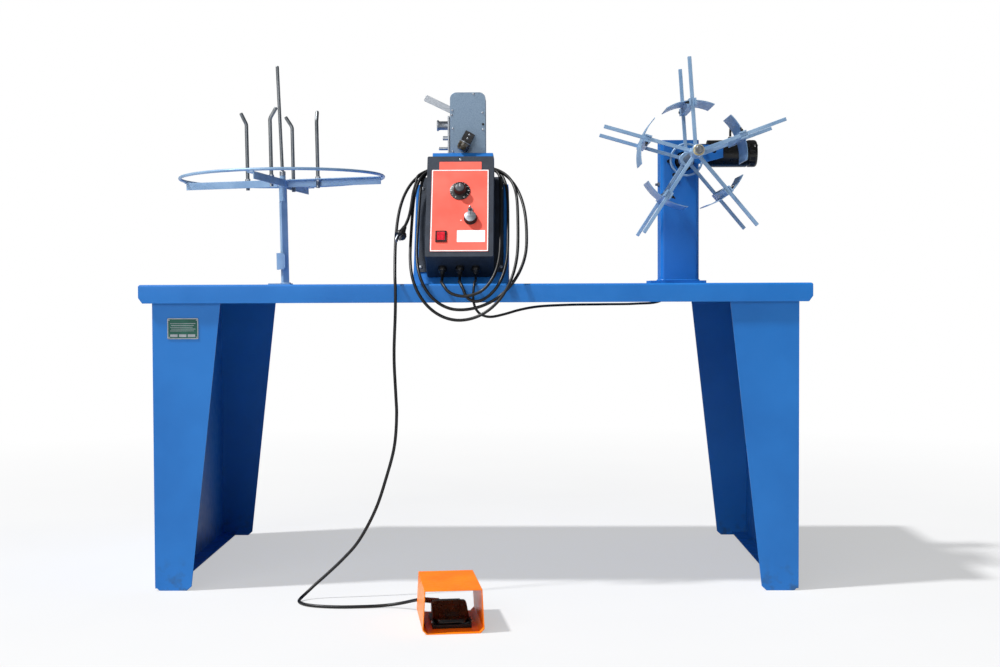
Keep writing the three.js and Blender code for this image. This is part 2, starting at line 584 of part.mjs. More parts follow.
// A shoe: a curved sheet on a square cross bar. The rear arm passes through the bar; the front
// arm sits in a fork that is open to the front.
function addShoes() {
  const { arms, rearY, frontY, bar } = COILER;
  const { drumR, sheet, halfAngle, nearY, farY, barSize, slack } = SHOE;
  const half = bar / 2 + slack;
  const arc = new THREE.Shape();
  arc.absarc(0, 0, drumR, -turn(halfAngle), turn(halfAngle));
  arc.absarc(0, 0, drumR - sheet, turn(halfAngle), -turn(halfAngle), true);
  const skin = slab("y", arc, nearY, farY, 10);
  const top = drumR - sheet / 2;
  const beam = block(top - barSize, top, frontY - 12, rearY + 12, -barSize / 2, barSize / 2);
  const rearHole = block(top - 2 * barSize, top + barSize, rearY - half, rearY + half, -half, half);
  const fork = block(top - 2 * barSize, top + barSize, frontY - 30, frontY + half, -half, half);
  arms.forEach((a, i) => {
    piece(coiler, `shoe_${i + 1}`, cut(join(skin, beam), rearHole, fork), SKY).rotation.y = -turn(a);
  });
}

// ---------- foot switch ----------

const foot = new THREE.Group();
foot.position.set(FOOT.x, FOOT.y, 0);
foot.rotation.z = turn(FOOT.turn);
bench.add(foot);

function addFootSwitch() {
  const { width, topWidth, height, length, sheet, chamfer } = FOOT;
  const ring = (inset) => {
    const [w, t, c] = [width / 2 - inset, topWidth / 2 - inset, chamfer];
    const top = height - inset;
    return [[-w + c, inset], [w - c, inset], [w, c + inset], [t, top], [-t, top], [-w, c + inset]];
  };
  const wrap = outline(ring(0));
  wrap.holes.push(new THREE.Path(ring(sheet).map(([u, v]) => new THREE.Vector2(u, v))));
  piece(foot, "foot_guard", slab("y", wrap, -length / 2, length / 2), ORANGE);

  const floor = sheet + GAP;
  const base = block(-48, 48, -72, 62, floor, 12);
  const housing = block(-32, 32, 50, 74, floor, 44);
  const cheeks = [-48, 45].map((x) => block(x, x + 3, -72, -40, floor, 24));
  piece(foot, "foot_base", join(base, housing, ...cheeks), BLACK);
  const wedge = outline([
    [-68, 15], [-66, 23], [-58, 28], [22, 50], [36, 50], [45, 42], [45, 30], [-50, 15]]);
  piece(foot, "foot_treadle", slab("x", wedge, -44.2, 44.2), BLACK);
  const relief = rod(7.5, [-22, 74 + GAP, 38], [-62, 108, 36], 12, 5.6);
  const back = block(-60, 20, 40, 74 + GAP, 0, 80);
  piece(foot, "foot_cord_relief", cut(relief, back), RUBBER);
}

// ---------- cords ----------

// How far forward a loop lies at a height: down the slope, over the bench edge and straight down.
function drapeY(z) {
  const { frontY, bendZ, slope: run, round } = DRAPE;
  const s = run * (z - bendZ);
  return frontY + (s + Math.hypot(s, round)) / 2;
}

// A point of the loops at angle a (0 at the right, 90 degrees at the top).
function loopPoint(a, spread, out) {
  const { x, z, halfWidth, above, below, growSide, growTop } = COIL;
  const [c, s] = [Math.cos(a), Math.sin(a)];
  const power = s > 0 ? 2.7 * 1.72 ** (1 - spread) : 2;
  const bulge = (v) => Math.sign(v) * Math.abs(v) ** (2 / power);
  const height = s > 0 ? above + growTop * spread : below + growSide * spread;
  const pz = z + height * bulge(s);
  return [x + (halfWidth + growSide * spread) * bulge(c), drapeY(pz) + out, pz];
}

// The loops' outer shape: a ring whose every point is moved on to the draped loops.
function addCordCoil() {
  const [ringR, ringTube] = [100, 10];
  const ring = new THREE.TorusGeometry(ringR, ringTube, 8, 40);
  const place = ring.attributes.position;
  for (let i = 0; i < place.count; i++) {
    const [x, y, h] = [place.getX(i), place.getY(i), place.getZ(i)];
    const spread = (Math.hypot(x, y) - ringR) / ringTube;
    place.setXYZ(i, ...loopPoint(Math.atan2(y, x), spread, (COIL.thick * -h) / ringTube));
  }
  piece(bench, "cord_coil", ring, RUBBER);
}

function addPlug() {
  const body = turned([[0, 0], [6, 0], [7.5, 8], [9, 20], [15, 27], [16, 38], [0, 38]], 16);
  const blades = [-6.3, 6.3].map((x) => block(x - 0.8, x + 0.8, -3.2, 3.2, 37, 55));
  const earth = rod(2.4, [0, 7.5, 37], [0, 7.5, 58], 10);
  const plug = piece(bench, "power_plug", join(body, ...blades, earth), RUBBER);
  plug.position.set(-193, 62, 995);
  const hanging = new THREE.Vector3(-0.294, -0.623, -0.725).normalize();
  plug.quaternion.setFromUnitVectors(new THREE.Vector3(0, 0, 1), hanging);
}

// The foot switch's cord below the loops: down past the bench edge, then along the floor.
const FOOT_CORD_ROUTE = [
  [-215, -2, 868], [-213.5, -16, 846], [-212, -24, 820], [-212, -26.5, 780], [-213, -26, 745],
  [-215, -25, 702], [-216.5, -24.5, 659], [-216, -26, 616], [-211.5, -31, 530], [-209.8, -34, 487],
  [-215.7, -43, 402], [-237.5, -53, 317], [-266, -63, 233], [-312.6, -73, 148], [-352, -78, 104],
  [-397, -83, 62], [-428, -88, 35], [-448, -100, 17], [-459, -118, 8], [-461, -138, 5], [-453, -161, 4.8],
  [-436, -182, 4.8], [-410, -197, 4.8], [-376, -206, 4.8], [-338, -210, 4.8], [-290, -206, 4.8],
  [-250, -200, 5], [-214, -199, 8], [-180, -211, 16], [-155, -229, 25], [-140, -249, 32],
];

// The motor's cord: over the bench edge behind the loops, back under the top, up through its hole
// and over the motor.
const MOTOR_CORD_ROUTE = [
  [2, 51.2, 855.9], [2, 45.7, 850.7], [2, 38, 847], [2, 29, 845.2], [2, 18, 844.6], [1, 6.5, 843.6],
  [0, -4.5, 839.5], [-1, -12, 831.5], [-2, -16, 820], [-3, -16.5, 802], [-1, -16.5, 785],
  [4.5, -16, 769.5], [15, -14.5, 757], [30, -12, 750], [47, -7, 748.5], [80, 6, 755], [120, 26, 766],
  [165, 60, 774], [250, 150, 778], [360, 280, 778], [470, 420, 778], [550, 520, 784], [590, 556, 805],
  [600, 562, 832], [600, 560, 862], [600, 540, 900], [600, 526, 950], [600, 524, 1040], [603, 525, 1090],
  [611, 525, 1135], [630, 523, 1175], [658, 520.5, 1204], [690, 514, 1226],
  [715, 511, 1239], [741, 511, 1251.5], [766, 511.5, 1265], [777, 511.5, 1276], [781, 511, 1290],
  [779.4, 507.4, 1304.8], [775, 497.5, 1315.5], [769, 484, 1319.5], [763, 470.5, 1315.5],
  [758.6, 460.6, 1304.8], [757, 457, 1290], [757, 457, 1280],
];

function addCords() {
  addCordCoil();
  addPlug();
  piece(bench, "foot_cord", swept(FOOT_CORD_ROUTE, CORD.footR, 60), RUBBER);
  piece(bench, "motor_cord", swept(MOTOR_CORD_ROUTE, CORD.motorR, 80), RUBBER);
}

// ---------- assembly ----------

addBenchTop();
addLeg("left_leg", -1);
addLeg("right_leg", 1);
addDataPlate();
addPost();
addHub();
addSpokesAndPins();
addRingAndSpindle();
addPedestal();
addEnclosure();
addControls();
addMeterFrame();
addMeterWheels();
addReleaseLever();
addWheelSensor();
addColumn();
addGearmotor();
addSpiders();
addShoes();
addFootSwitch();
addCords();

// The footprint runs from the guard's front corner to the rear of the bench.
const footFront = FOOT.y
  - (FOOT.length / 2) * Math.cos(turn(FOOT.turn)) - (FOOT.width / 2) * Math.sin(turn(FOOT.turn));
bench.position.y = -(BENCH.depth + footFront) / 2;

const machine = new THREE.Group();
machine.add(bench);
export default machine;
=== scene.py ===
import json
import math

import bmesh
import bpy
import numpy as np
from mathutils import Matrix, Vector

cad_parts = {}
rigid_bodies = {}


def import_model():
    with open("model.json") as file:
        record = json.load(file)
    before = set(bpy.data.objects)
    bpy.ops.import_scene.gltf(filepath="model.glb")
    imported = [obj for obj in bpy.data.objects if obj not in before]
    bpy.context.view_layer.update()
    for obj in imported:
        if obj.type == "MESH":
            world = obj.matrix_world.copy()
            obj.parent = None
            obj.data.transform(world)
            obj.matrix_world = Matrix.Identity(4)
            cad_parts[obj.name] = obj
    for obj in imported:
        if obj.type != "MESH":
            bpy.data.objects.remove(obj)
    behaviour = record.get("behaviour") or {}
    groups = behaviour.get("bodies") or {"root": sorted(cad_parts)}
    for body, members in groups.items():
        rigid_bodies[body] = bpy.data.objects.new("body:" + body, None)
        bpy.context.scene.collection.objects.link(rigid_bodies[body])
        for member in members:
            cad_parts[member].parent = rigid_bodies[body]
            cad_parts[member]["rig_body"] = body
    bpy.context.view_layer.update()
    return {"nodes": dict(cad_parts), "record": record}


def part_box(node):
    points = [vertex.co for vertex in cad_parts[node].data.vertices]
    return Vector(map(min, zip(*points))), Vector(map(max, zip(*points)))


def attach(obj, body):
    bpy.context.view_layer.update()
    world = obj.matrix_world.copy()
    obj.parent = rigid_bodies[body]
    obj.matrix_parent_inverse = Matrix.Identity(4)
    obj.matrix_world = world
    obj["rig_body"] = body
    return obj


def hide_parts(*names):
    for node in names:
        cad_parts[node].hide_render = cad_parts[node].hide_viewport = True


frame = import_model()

# ---------- frames ----------
# Lengths are in millimetres inside these frames, which turn them into the row frame's metres.

MM = 0.001


def at(x, y, z):
    return Matrix.Translation((x, y, z))


def turned(rx=0, ry=0, rz=0):
    around = [(rx, "X"), (ry, "Y"), (rz, "Z")]
    x, y, z = (Matrix.Rotation(math.radians(a), 4, axis) for a, axis in around)
    return x @ y @ z


BENCH = at(0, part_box("bench_top")[0].y, 0) @ Matrix.Scale(MM, 4)
PAYOFF = BENCH @ at(-588, 457, 838) @ turned(-0.6, -1.05)
SLOPE = BENCH @ at(-42, 112, 838) @ turned(-27)
FACE = SLOPE @ at(0, -126.2, 0) @ turned(90)  # x across, y up the slope, z out of the panel
COILER = BENCH @ at(613, 0, 1201)
FOOT = BENCH @ at(-53, -364, 0) @ turned(rz=7.5)
MOTOR = BENCH @ at(0, 457, 1228) @ turned(ry=90)  # z runs along the motor, to the right

SLOT_OF = {row["node"]: row["material_slot"] for row in frame["record"]["subparts"]}

# ---------- camera ----------


def add_camera():
    data = bpy.data.cameras.new("camera")
    data.lens, data.sensor_width = 51.43, 36
    data.clip_end = 50
    camera = bpy.data.objects.new("camera", data)
    bpy.context.scene.collection.objects.link(camera)
    yaw, pitch, roll = -0.01449, 0.03081, -0.00375
    forward = Vector((math.sin(yaw) * math.cos(pitch), math.cos(yaw) * math.cos(pitch), -math.sin(pitch)))
    level = Vector((math.cos(yaw), -math.sin(yaw), 0))
    upright = level.cross(forward)
    right = level * math.cos(roll) + upright * math.sin(roll)
    up = upright * math.cos(roll) - level * math.sin(roll)
    axes = Matrix((right, up, -forward)).transposed()
    eye = BENCH @ Vector((124.81, -3866.61, 822.14))
    camera.matrix_world = Matrix.Translation(eye) @ axes.to_4x4()
    bpy.context.scene.camera = camera


add_camera()

# ---------- materials ----------


FINISH = {}


class Shading:
    """The node tree of one material in FINISH, with short calls for what the finishes share."""

    def __init__(self, name):
        material = FINISH[name] = bpy.data.materials.new(f"{name}_look")
        material.use_nodes = True
        self.nodes = material.node_tree.nodes
        self.links = material.node_tree.links
        self.shader = self.nodes["Principled BSDF"]
        self.coords = self.nodes.new("ShaderNodeTexCoord")

    def space(self, stretch):
        mapping = self.nodes.new("ShaderNodeMapping")
        mapping.inputs["Scale"].default_value = stretch
        self.links.new(self.coords.outputs["Object"], mapping.inputs["Vector"])
        return mapping.outputs["Vector"]

    def noise(self, scale, detail=4.0, stretch=(1, 1, 1)):
        node = self.nodes.new("ShaderNodeTexNoise")
        node.inputs["Scale"].default_value = scale
        node.inputs["Detail"].default_value = detail
        self.links.new(self.space(stretch), node.inputs["Vector"])
        return node.outputs["Fac"]

    def cells(self, scale):
        node = self.nodes.new("ShaderNodeTexVoronoi")
        node.feature = "SMOOTH_F1"
        node.inputs["Scale"].default_value = scale
        self.links.new(self.space((1, 1, 1)), node.inputs["Vector"])
        return node.outputs["Distance"]

    def ramp(self, value, low, high, first, last):
        node = self.nodes.new("ShaderNodeValToRGB")
        node.color_ramp.elements[0].position = low
        node.color_ramp.elements[1].position = high
        node.color_ramp.elements[0].color = (*first, 1)
        node.color_ramp.elements[1].color = (*last, 1)
        self.links.new(value, node.inputs["Fac"])
        return node.outputs["Color"]

    def spread(self, value, low, high, first, last):
        node = self.nodes.new("ShaderNodeMapRange")
        for name, number in zip(("From Min", "From Max", "To Min", "To Max"), (low, high, first, last)):
            node.inputs[name].default_value = number
        self.links.new(value, node.inputs["Value"])
        return node.outputs["Result"]

    def times(self, a, b):
        node = self.nodes.new("ShaderNodeMath")
        node.operation = "MULTIPLY"
        self.links.new(a, node.inputs[0])
        self.links.new(b, node.inputs[1])
        return node.outputs["Value"]

    def blend(self, amount, a, b):
        node = self.nodes.new("ShaderNodeMix")
        node.data_type = "RGBA"
        self.links.new(amount, node.inputs["Factor"])
        self.links.new(a, node.inputs["A"])
        node.inputs["B"].default_value = (*b, 1)
        return node.outputs["Result"]

    def height(self):
        node = self.nodes.new("ShaderNodeSeparateXYZ")
        self.links.new(self.coords.outputs["Object"], node.inputs["Vector"])
        return node.outputs["Z"]

    def bump(self, value, strength, distance):
        node = self.nodes.new("ShaderNodeBump")
        node.inputs["Strength"].default_value = strength
        node.inputs["Distance"].default_value = distance
        self.links.new(value, node.inputs["Height"])
        self.links.new(node.outputs["Normal"], self.shader.inputs["Normal"])

    def set(self, **values):
        for name, value in values.items():
            self.shader.inputs[name.replace("_", " ")].default_value = value

    def feed(self, socket, output):
        self.links.new(output, self.shader.inputs[socket])


def linear(red, green, blue):
    """A colour given as it looks on a screen, 0 to 255, in the renderer's linear values."""
    return tuple((c / 255) ** 2.2 for c in (red, green, blue))


def painted(slot, colour, shade, rough, metal=0.0, patch=6, peel_depth=0.00012, shine=0.5):
    """Sprayed paint: slow drifts of tone, a little uneven gloss and the fine skin of a sprayed coat."""
    look = Shading(slot)
    look.feed("Base Color", look.ramp(look.noise(patch), 0.3, 0.7, linear(*shade), linear(*colour)))
    look.feed("Roughness", look.spread(look.noise(patch * 7), 0.3, 0.7, rough - 0.05, rough + 0.07))
    look.bump(look.noise(260, 2), 0.35, peel_depth)
    look.set(Metallic=metal, Specular_IOR_Level=shine)
    return look


def mottled(slot, dark, light, tone, gloss, rough, grain=None, relief=None, limits=(0.3, 0.7), **sockets):
    """Colour that drifts from dark to light, with uneven gloss and, where given, a fine grain.
    tone, gloss and grain say what noise() takes, and relief is the grain's strength and depth."""
    look = Shading(slot)
    look.feed("Base Color", look.ramp(look.noise(*tone), *limits, linear(*dark), linear(*light)))
    look.feed("Roughness", look.spread(look.noise(*gloss), 0.3, 0.7, *rough))
    if grain:
        look.bump(look.noise(*grain), *relief)
    look.set(**sockets)


def add_scuffs(look, dirt, top):
    """Rubbed, dusty patches that fade out from the floor up to a height."""
    low = look.spread(look.height(), 0.0, top, 0.75, 0.0)
    patches = look.spread(look.noise(38, 6), 0.5, 0.68, 0.0, 1.0)
    colour = look.shader.inputs["Base Color"].links[0].from_socket
    look.feed("Base Color", look.blend(look.times(low, patches), colour, linear(*dirt)))


def make_hammertone():
    look = Shading("hammertone")
    cells = look.cells(520)
    look.feed("Base Color", look.ramp(cells, 0.1, 0.8, linear(136, 156, 176), linear(112, 134, 156)))
    look.feed("Roughness", look.spread(cells, 0.1, 0.8, 0.34, 0.5))
    look.bump(cells, 0.35, 0.00015)
    look.set(Metallic=0.35)


def make_bright_metal():
    look = Shading("bright_metal")
    lines = look.noise(420, 3, (0.06, 1, 1))
    dark, light = linear(140, 146, 154), linear(184, 188, 194)
    look.feed("Base Color", look.ramp(lines, 0.25, 0.75, dark, light))
    look.feed("Roughness", look.spread(lines, 0.3, 0.7, 0.28, 0.46))
    look.bump(lines, 0.2, 0.00008)
    look.set(Metallic=0.85)


def make_board():
    look = Shading("circuit_board")
    tracks = look.noise(180, 1, (1, 1, 0.2))
    look.feed("Base Color", look.ramp(tracks, 0.48, 0.52, linear(18, 84, 46), linear(40, 118, 66)))
    look.feed("Roughness", look.spread(tracks, 0.4, 0.6, 0.3, 0.5))
    look.bump(tracks, 0.3, 0.0001)


def make_floor():
    """Pale near the object, and as white as the backdrop further off, so no horizon shows.
    The white is only for rays from the camera, so it lights nothing."""
    look = Shading("studio_floor")
    dark, light = linear(206, 206, 207), linear(210, 210, 210)
    look.feed("Base Color", look.ramp(look.noise(1.5), 0.3, 0.7, dark, light))
    look.set(Roughness=0.85, Specular_IOR_Level=0.2)
    away = look.nodes.new("ShaderNodeVectorMath")
    away.operation = "LENGTH"
    look.links.new(look.coords.outputs["Object"], away.inputs[0])
    far = look.spread(away.outputs["Value"], 1.6, 4.5, 0.5, 1.0)
    seen = look.nodes.new("ShaderNodeLightPath")
    white = look.nodes.new("ShaderNodeEmission")
    mixed = look.nodes.new("ShaderNodeMixShader")
    look.links.new(look.times(far, seen.outputs["Is Camera Ray"]), mixed.inputs[0])
    look.links.new(look.shader.outputs[0], mixed.inputs[1])
    look.links.new(white.outputs[0], mixed.inputs[2])
    look.links.new(mixed.outputs[0], look.nodes["Material Output"].inputs["Surface"])


blue = painted("blue_paint", (34, 116, 196), (26, 106, 184), 0.4, shine=0.4)
add_scuffs(blue, (46, 84, 124), 0.1)
painted("sky_paint", (148, 178, 208), (118, 152, 188), 0.38, metal=0.2, patch=14)
painted("orange_paint", (255, 136, 14), (252, 118, 12), 0.34, patch=12, shine=0.35)
painted("black_metal", (19, 19, 20), (12, 12, 13), 0.3, patch=22, peel_depth=0.00006, shine=0.4)
mottled(
    "charcoal_paint", (30, 38, 50), (42, 52, 66), tone=(30,),
    gloss=(400, 3), rough=(0.5, 0.78), grain=(850, 2), relief=(0.6, 0.00035))
mottled(
    "bare_steel", (104, 108, 110), (140, 144, 148), tone=(40, 4, (3, 3, 0.2)), limits=(0.3, 0.72),
    gloss=(200, 4), rough=(0.34, 0.46), grain=(400, 2, (2, 2, 0.1)), relief=(0.15, 0.00003),
    Metallic=0.75)
mottled(
    "brass", (196, 178, 132), (228, 214, 172), tone=(120,),
    gloss=(300,), rough=(0.28, 0.5), grain=(700, 2), relief=(0.2, 0.0001), Metallic=0.7)
mottled(
    "black_plastic", (14, 14, 15), (24, 24, 26), tone=(60,),
    gloss=(500, 3), rough=(0.3, 0.46), grain=(1200, 2), relief=(0.25, 0.00012))
mottled(
    "coral_label", (250, 92, 76), (255, 108, 92), tone=(12,),
    gloss=(90,), rough=(0.4, 0.55), grain=(900, 2), relief=(0.15, 0.00008))
mottled(
    "red_lens", (190, 18, 38), (232, 44, 62), tone=(160,),
    gloss=(240,), rough=(0.1, 0.2), grain=(300, 2), relief=(0.1, 0.0001),
    Coat_Weight=0.6, Coat_Roughness=0.08, Subsurface_Weight=0.15, Subsurface_Radius=(0.004, 0.001, 0.001))
mottled(
    "green_label", (28, 76, 66), (44, 98, 84), tone=(40,),
    gloss=(160,), rough=(0.35, 0.5), grain=(700, 2), relief=(0.15, 0.00008), Metallic=0.3)
mottled(
    "rubber", (13, 13, 14), (26, 26, 27), tone=(45,),
    gloss=(300, 3), rough=(0.36, 0.5), grain=(900, 2), relief=(0.2, 0.00003), Specular_IOR_Level=0.4)
mottled(
    "zinc_wire", (176, 180, 186), (206, 210, 215), tone=(120,),
    gloss=(500, 3), rough=(0.3, 0.42), Metallic=0.25)
mottled(
    "satin_grey", (66, 68, 74), (84, 86, 92), tone=(90,),
    gloss=(500, 3), rough=(0.3, 0.45), grain=(900, 2), relief=(0.2, 0.00008))
mottled(
    "smoked_plastic", (30, 28, 24), (82, 72, 54), tone=(110, 3), limits=(0.35, 0.65),
    gloss=(260,), rough=(0.12, 0.26), grain=(500, 2), relief=(0.2, 0.0001),
    Coat_Weight=0.5, Coat_Roughness=0.1)
mottled(
    "white_print", (232, 234, 236), (250, 250, 250), tone=(60,),
    gloss=(200,), rough=(0.4, 0.55), grain=(900, 2), relief=(0.1, 0.00005))
for make in (make_hammertone, make_bright_metal, make_board, make_floor):
    make()

for node, cad in frame["nodes"].items():
    cad.data.materials.clear()
    cad.data.materials.append(FINISH[SLOT_OF[node]])

# ---------- pieces ----------


def dress(obj, body, slot, bevel=0.0, segments=2, angle=32, replaces=(), look=None):
    """Material, soft edges and smooth shading for a new piece, which then rides on its body."""
    bpy.context.scene.collection.objects.link(obj)
    obj.data.materials.clear()
    obj.data.materials.append(FINISH[look or slot])
    if obj.type == "MESH":
        obj.data.shade_smooth()
        obj.data.set_sharp_from_angle(angle=math.radians(angle))
        if bevel:
            edges = obj.modifiers.new("soft_edges", "BEVEL")
            edges.width = bevel * MM
            edges.segments = segments
            edges.limit_method = "ANGLE"
            edges.angle_limit = math.radians(angle)
            edges.harden_normals = True
    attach(obj, body)
    if replaces:
        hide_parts(*replaces)
    return obj


def refined(node, bevel=0.5, segments=2):
    """The CAD node's own shape with its flat faces made whole and its edges softened."""
    cad = frame["nodes"][node]
    shape = bmesh.new()
    shape.from_mesh(cad.data)
    bmesh.ops.remove_doubles(shape, verts=shape.verts, dist=2e-6)
    bmesh.ops.dissolve_limit(shape, angle_limit=math.radians(0.5), verts=shape.verts, edges=shape.edges)
    mesh = bpy.data.meshes.new(f"{node}_finished")
    shape.to_mesh(mesh)
    shape.free()
    if "custom_normal" in mesh.attributes:
        mesh.attributes.remove(mesh.attributes["custom_normal"])
    obj = bpy.data.objects.new(f"{node}_finished", mesh)
    return dress(obj, cad["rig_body"], SLOT_OF[node], bevel, segments, replaces=[node])


def piece(name, body, slot, where, *forms, bevel=0.0, segments=2, angle=32, replaces=(), look=None):
    """A new piece from forms, each a list of points and a list of faces in the frame where."""
    points, faces = [], []
    for some_points, some_faces in forms:
        faces += [[i + len(points) for i in face] for face in some_faces]
        points += [where @ Vector(p) for p in some_points]
    mesh = bpy.data.meshes.new(name)
    mesh.from_pydata(points, [], faces)
    shape = bmesh.new()
    shape.from_mesh(mesh)
    bmesh.ops.recalc_face_normals(shape, faces=shape.faces)
    shape.to_mesh(mesh)
    shape.free()
    return dress(bpy.data.objects.new(name, mesh), body, slot, bevel, segments, angle, replaces, look)


def moved(form, matrix):
    points, faces = form
    return [matrix @ Vector(p) for p in points], faces


def copies(form, spots, spin):
    return [moved(form, at(*spot) @ spin) for spot in spots]


def block(x0, x1, y0, y1, z0, z1):
    points = [(x, y, z) for x in (x0, x1) for y in (y0, y1) for z in (z0, z1)]
    return points, [(0, 1, 3, 2), (4, 6, 7, 5), (0, 4, 5, 1), (2, 3, 7, 6), (0, 2, 6, 4), (1, 5, 7, 3)]


def prism(outline, low, high):
    """A flat outline of (x, y) points given thickness along z."""
    count = len(outline)
    points = [(x, y, z) for z in (low, high) for x, y in outline]
    sides = [(i, (i + 1) % count, count + (i + 1) % count, count + i) for i in range(count)]
    return points, [list(range(count)), list(range(count, 2 * count)), *sides]


def arc(x, y, radius, start, end, steps=6):
    angles = [math.radians(start + (end - start) * i / steps) for i in range(steps + 1)]
    return [(x + radius * math.cos(a), y + radius * math.sin(a)) for a in angles]


def rounded(x0, x1, y0, y1, r, steps=6):
    corners = [(x1 - r, y0 + r, -90), (x1 - r, y1 - r, 0), (x0 + r, y1 - r, 90), (x0 + r, y0 + r, 180)]
    return [p for x, y, start in corners for p in arc(x, y, r, start, start + 90, steps)]


def lathe(profile, sides=48, ripple=None):
    """A turned form about z from (radius, height) points, open from axis to axis or closed on itself.
    ripple(angle, height) scales the radius, for flutes and knurls."""
    closed = profile[0] == profile[-1]
    points, rings = [], []
    for r, h in profile[:-1] if closed else profile:
        start = len(points)
        if r < 1e-6:
            points.append((0, 0, h))
            rings.append([start] * sides)
            continue
        for i in range(sides):
            a = 2 * math.pi * i / sides
            reach = r * (ripple(a, h) if ripple else 1)
            points.append((reach * math.cos(a), reach * math.sin(a), h))
        rings.append(list(range(start, start + sides)))
    faces = []
    for low, high in zip(rings, rings[1:] + rings[:1] if closed else rings[1:]):
        for i in range(sides):
            j = (i + 1) % sides
            face = list(dict.fromkeys((low[i], low[j], high[j], high[i])))
            if len(face) > 2:
                faces.append(face)
    return points, faces


def tube(path, radius, sides=16, closed=False):
    """A round bar along a path, with one radius or one for each point."""
    path = [Vector(p) for p in path]
    count = len(path)
    radii = radius if hasattr(radius, "__len__") else [radius] * count
    points, rings = [], []
    normal = None
    for k, p in enumerate(path):
        before = path[k - 1] if k or closed else p
        after = path[(k + 1) % count] if k < count - 1 or closed else p
        along = (after - before).normalized()
        normal = along.orthogonal() if normal is None else normal - along * normal.dot(along)
        normal.normalize()
        side = along.cross(normal)
        rings.append(list(range(len(points), len(points) + sides)))
        for i in range(sides):
            a = 2 * math.pi * i / sides
            points.append(p + (normal * math.cos(a) + side * math.sin(a)) * radii[k])
    faces = []
    for low, high in zip(rings, rings[1:] + rings[:1] if closed else rings[1:]):
        faces += [(low[i], low[(i + 1) % sides], high[(i + 1) % sides], high[i]) for i in range(sides)]
    if not closed:
        faces += [rings[0], rings[-1]]
    return points, faces


def disc(radius, low, high, sides):
    return lathe([(0, low), (radius, low), (radius, high), (0, high)], sides)


def circle(radius, z=0.0, steps=64, x=0.0, y=0.0):
    return [(*p, z) for p in arc(x, y, radius, 0, 360, steps)[:-1]]


def smooth_path(points, step):
    """A smooth curve through the points, the way a Catmull-Rom curve with centripetal spacing runs,
    as points about one step apart."""
    fixed = [Vector(p) for p in points]
    fixed = [2 * fixed[0] - fixed[1], *fixed, 2 * fixed[-1] - fixed[-2]]
    fine = []
    for a, b, c, d in zip(fixed, fixed[1:], fixed[2:], fixed[3:]):
        first, middle, last = (max(math.sqrt((q - p).length), 1e-4) for p, q in ((a, b), (b, c), (c, d)))
        leave = ((b - a) / first - (c - a) / (first + middle) + (c - b) / middle) * middle
        arrive = ((c - b) / middle - (d - b) / (middle + last) + (d - c) / last) * middle
        for k in range(16):
            t = k / 16
            fine.append(b + leave * t + (3 * (c - b) - 2 * leave - arrive) * t * t
                        + (2 * (b - c) + leave + arrive) * t ** 3)
    fine.append(fixed[-2])
    fine = np.array(fine)
    reached = np.concatenate([[0], np.cumsum(np.linalg.norm(np.diff(fine, axis=0), axis=1))])
    count = max(2, round(reached[-1] / step))
    stops = np.linspace(0, reached[-1], count + 1)
    return list(zip(*(np.interp(stops, reached, fine[:, k]) for k in range(3))))


def screw(radius, height):
    """A domed screw head with a small round recess, standing on z = 0."""
    return lathe([
        (0, height * 0.5), (radius * 0.3, height * 0.5), (radius * 0.36, height),
        (radius * 0.7, height * 0.85), (radius, height * 0.25), (radius, -0.2), (0, -0.2)], 20)


def socket_screw(radius, height):
    return lathe([
        (0, height * 0.45), (radius * 0.5, height * 0.45), (radius * 0.5, height), (radius * 0.9, height),
        (radius, height - radius * 0.12), (radius, -0.2), (0, -0.2)], 24)


def hexagon(radius, z0, z1):
    return prism(arc(0, 0, radius, 0, 360, 6)[:-1], z0, z1)


def ring_frame(outer, inner, low, high):
    """The band between two outlines with the same number of points, given thickness along z."""
    count = len(outer)
    points = [(x, y, z) for z in (low, high) for ring in (outer, inner) for x, y in ring]
    faces = []
    for i in range(count):
        j = (i + 1) % count
        faces += [
            (i, j, count + j, count + i), (2 * count + i, 3 * count + i, 3 * count + j, 2 * count + j),
            (i, 2 * count + i, 2 * count + j, j), (count + i, count + j, 3 * count + j, 3 * count + i)]
    return points, faces


def open_nut(flat, bore, low, high, corner=math.inf):
    """A six-sided nut round a bore: flat is the middle to a side, corner the most a corner reaches."""
    outer, inner = [], []
    for degrees in range(0, 360, 5):
        from_flat = math.radians((degrees + 30) % 60 - 30)
        r = min(corner, flat / math.cos(from_flat))
        c, s = math.cos(math.radians(degrees)), math.sin(math.radians(degrees))
        outer.append((r * c, r * s))
        inner.append((bore * c, bore * s))
    return ring_frame(outer, inner, low, high)


# ---------- plug ----------


def add_plug():
    heading = Vector((-0.294, -0.623, -0.725)).normalized()
    spin = Vector((0, 0, 1)).rotation_difference(heading).to_matrix().to_4x4()
    where = BENCH @ at(-193, 62, 995) @ spin

    def grip(angle, height):
        return 1 + (0.04 * math.cos(angle * 12) if 21 < height < 33 else 0)

    body = lathe([
        (0, 0), (5.6, 0), (6, 0.6), (6.4, 3), (5.9, 3.8), (6.8, 6.4), (6.4, 7.4), (7.4, 10), (7, 11),
        (8.2, 14), (9, 20), (12, 23.5), (15, 27), (15.8, 30), (16, 36), (15.2, 37.6), (0, 38)], 72, grip)
    blades = [block(x - 0.8, x + 0.8, -3.2, 3.2, 37.5, 55) for x in (-6.3, 6.3)]
    earth = moved(lathe([(0, 37.5), (2.4, 37.5), (2.4, 56), (1.8, 57.4), (0, 58)], 28), at(0, 7.5, 0))
    return [
        piece("plug_body", "root", "rubber", where, body, replaces=["power_plug"]),
        piece("plug_blades", "root", "bright_metal", where, *blades, earth, bevel=0.3)]


# ---------- cords ----------

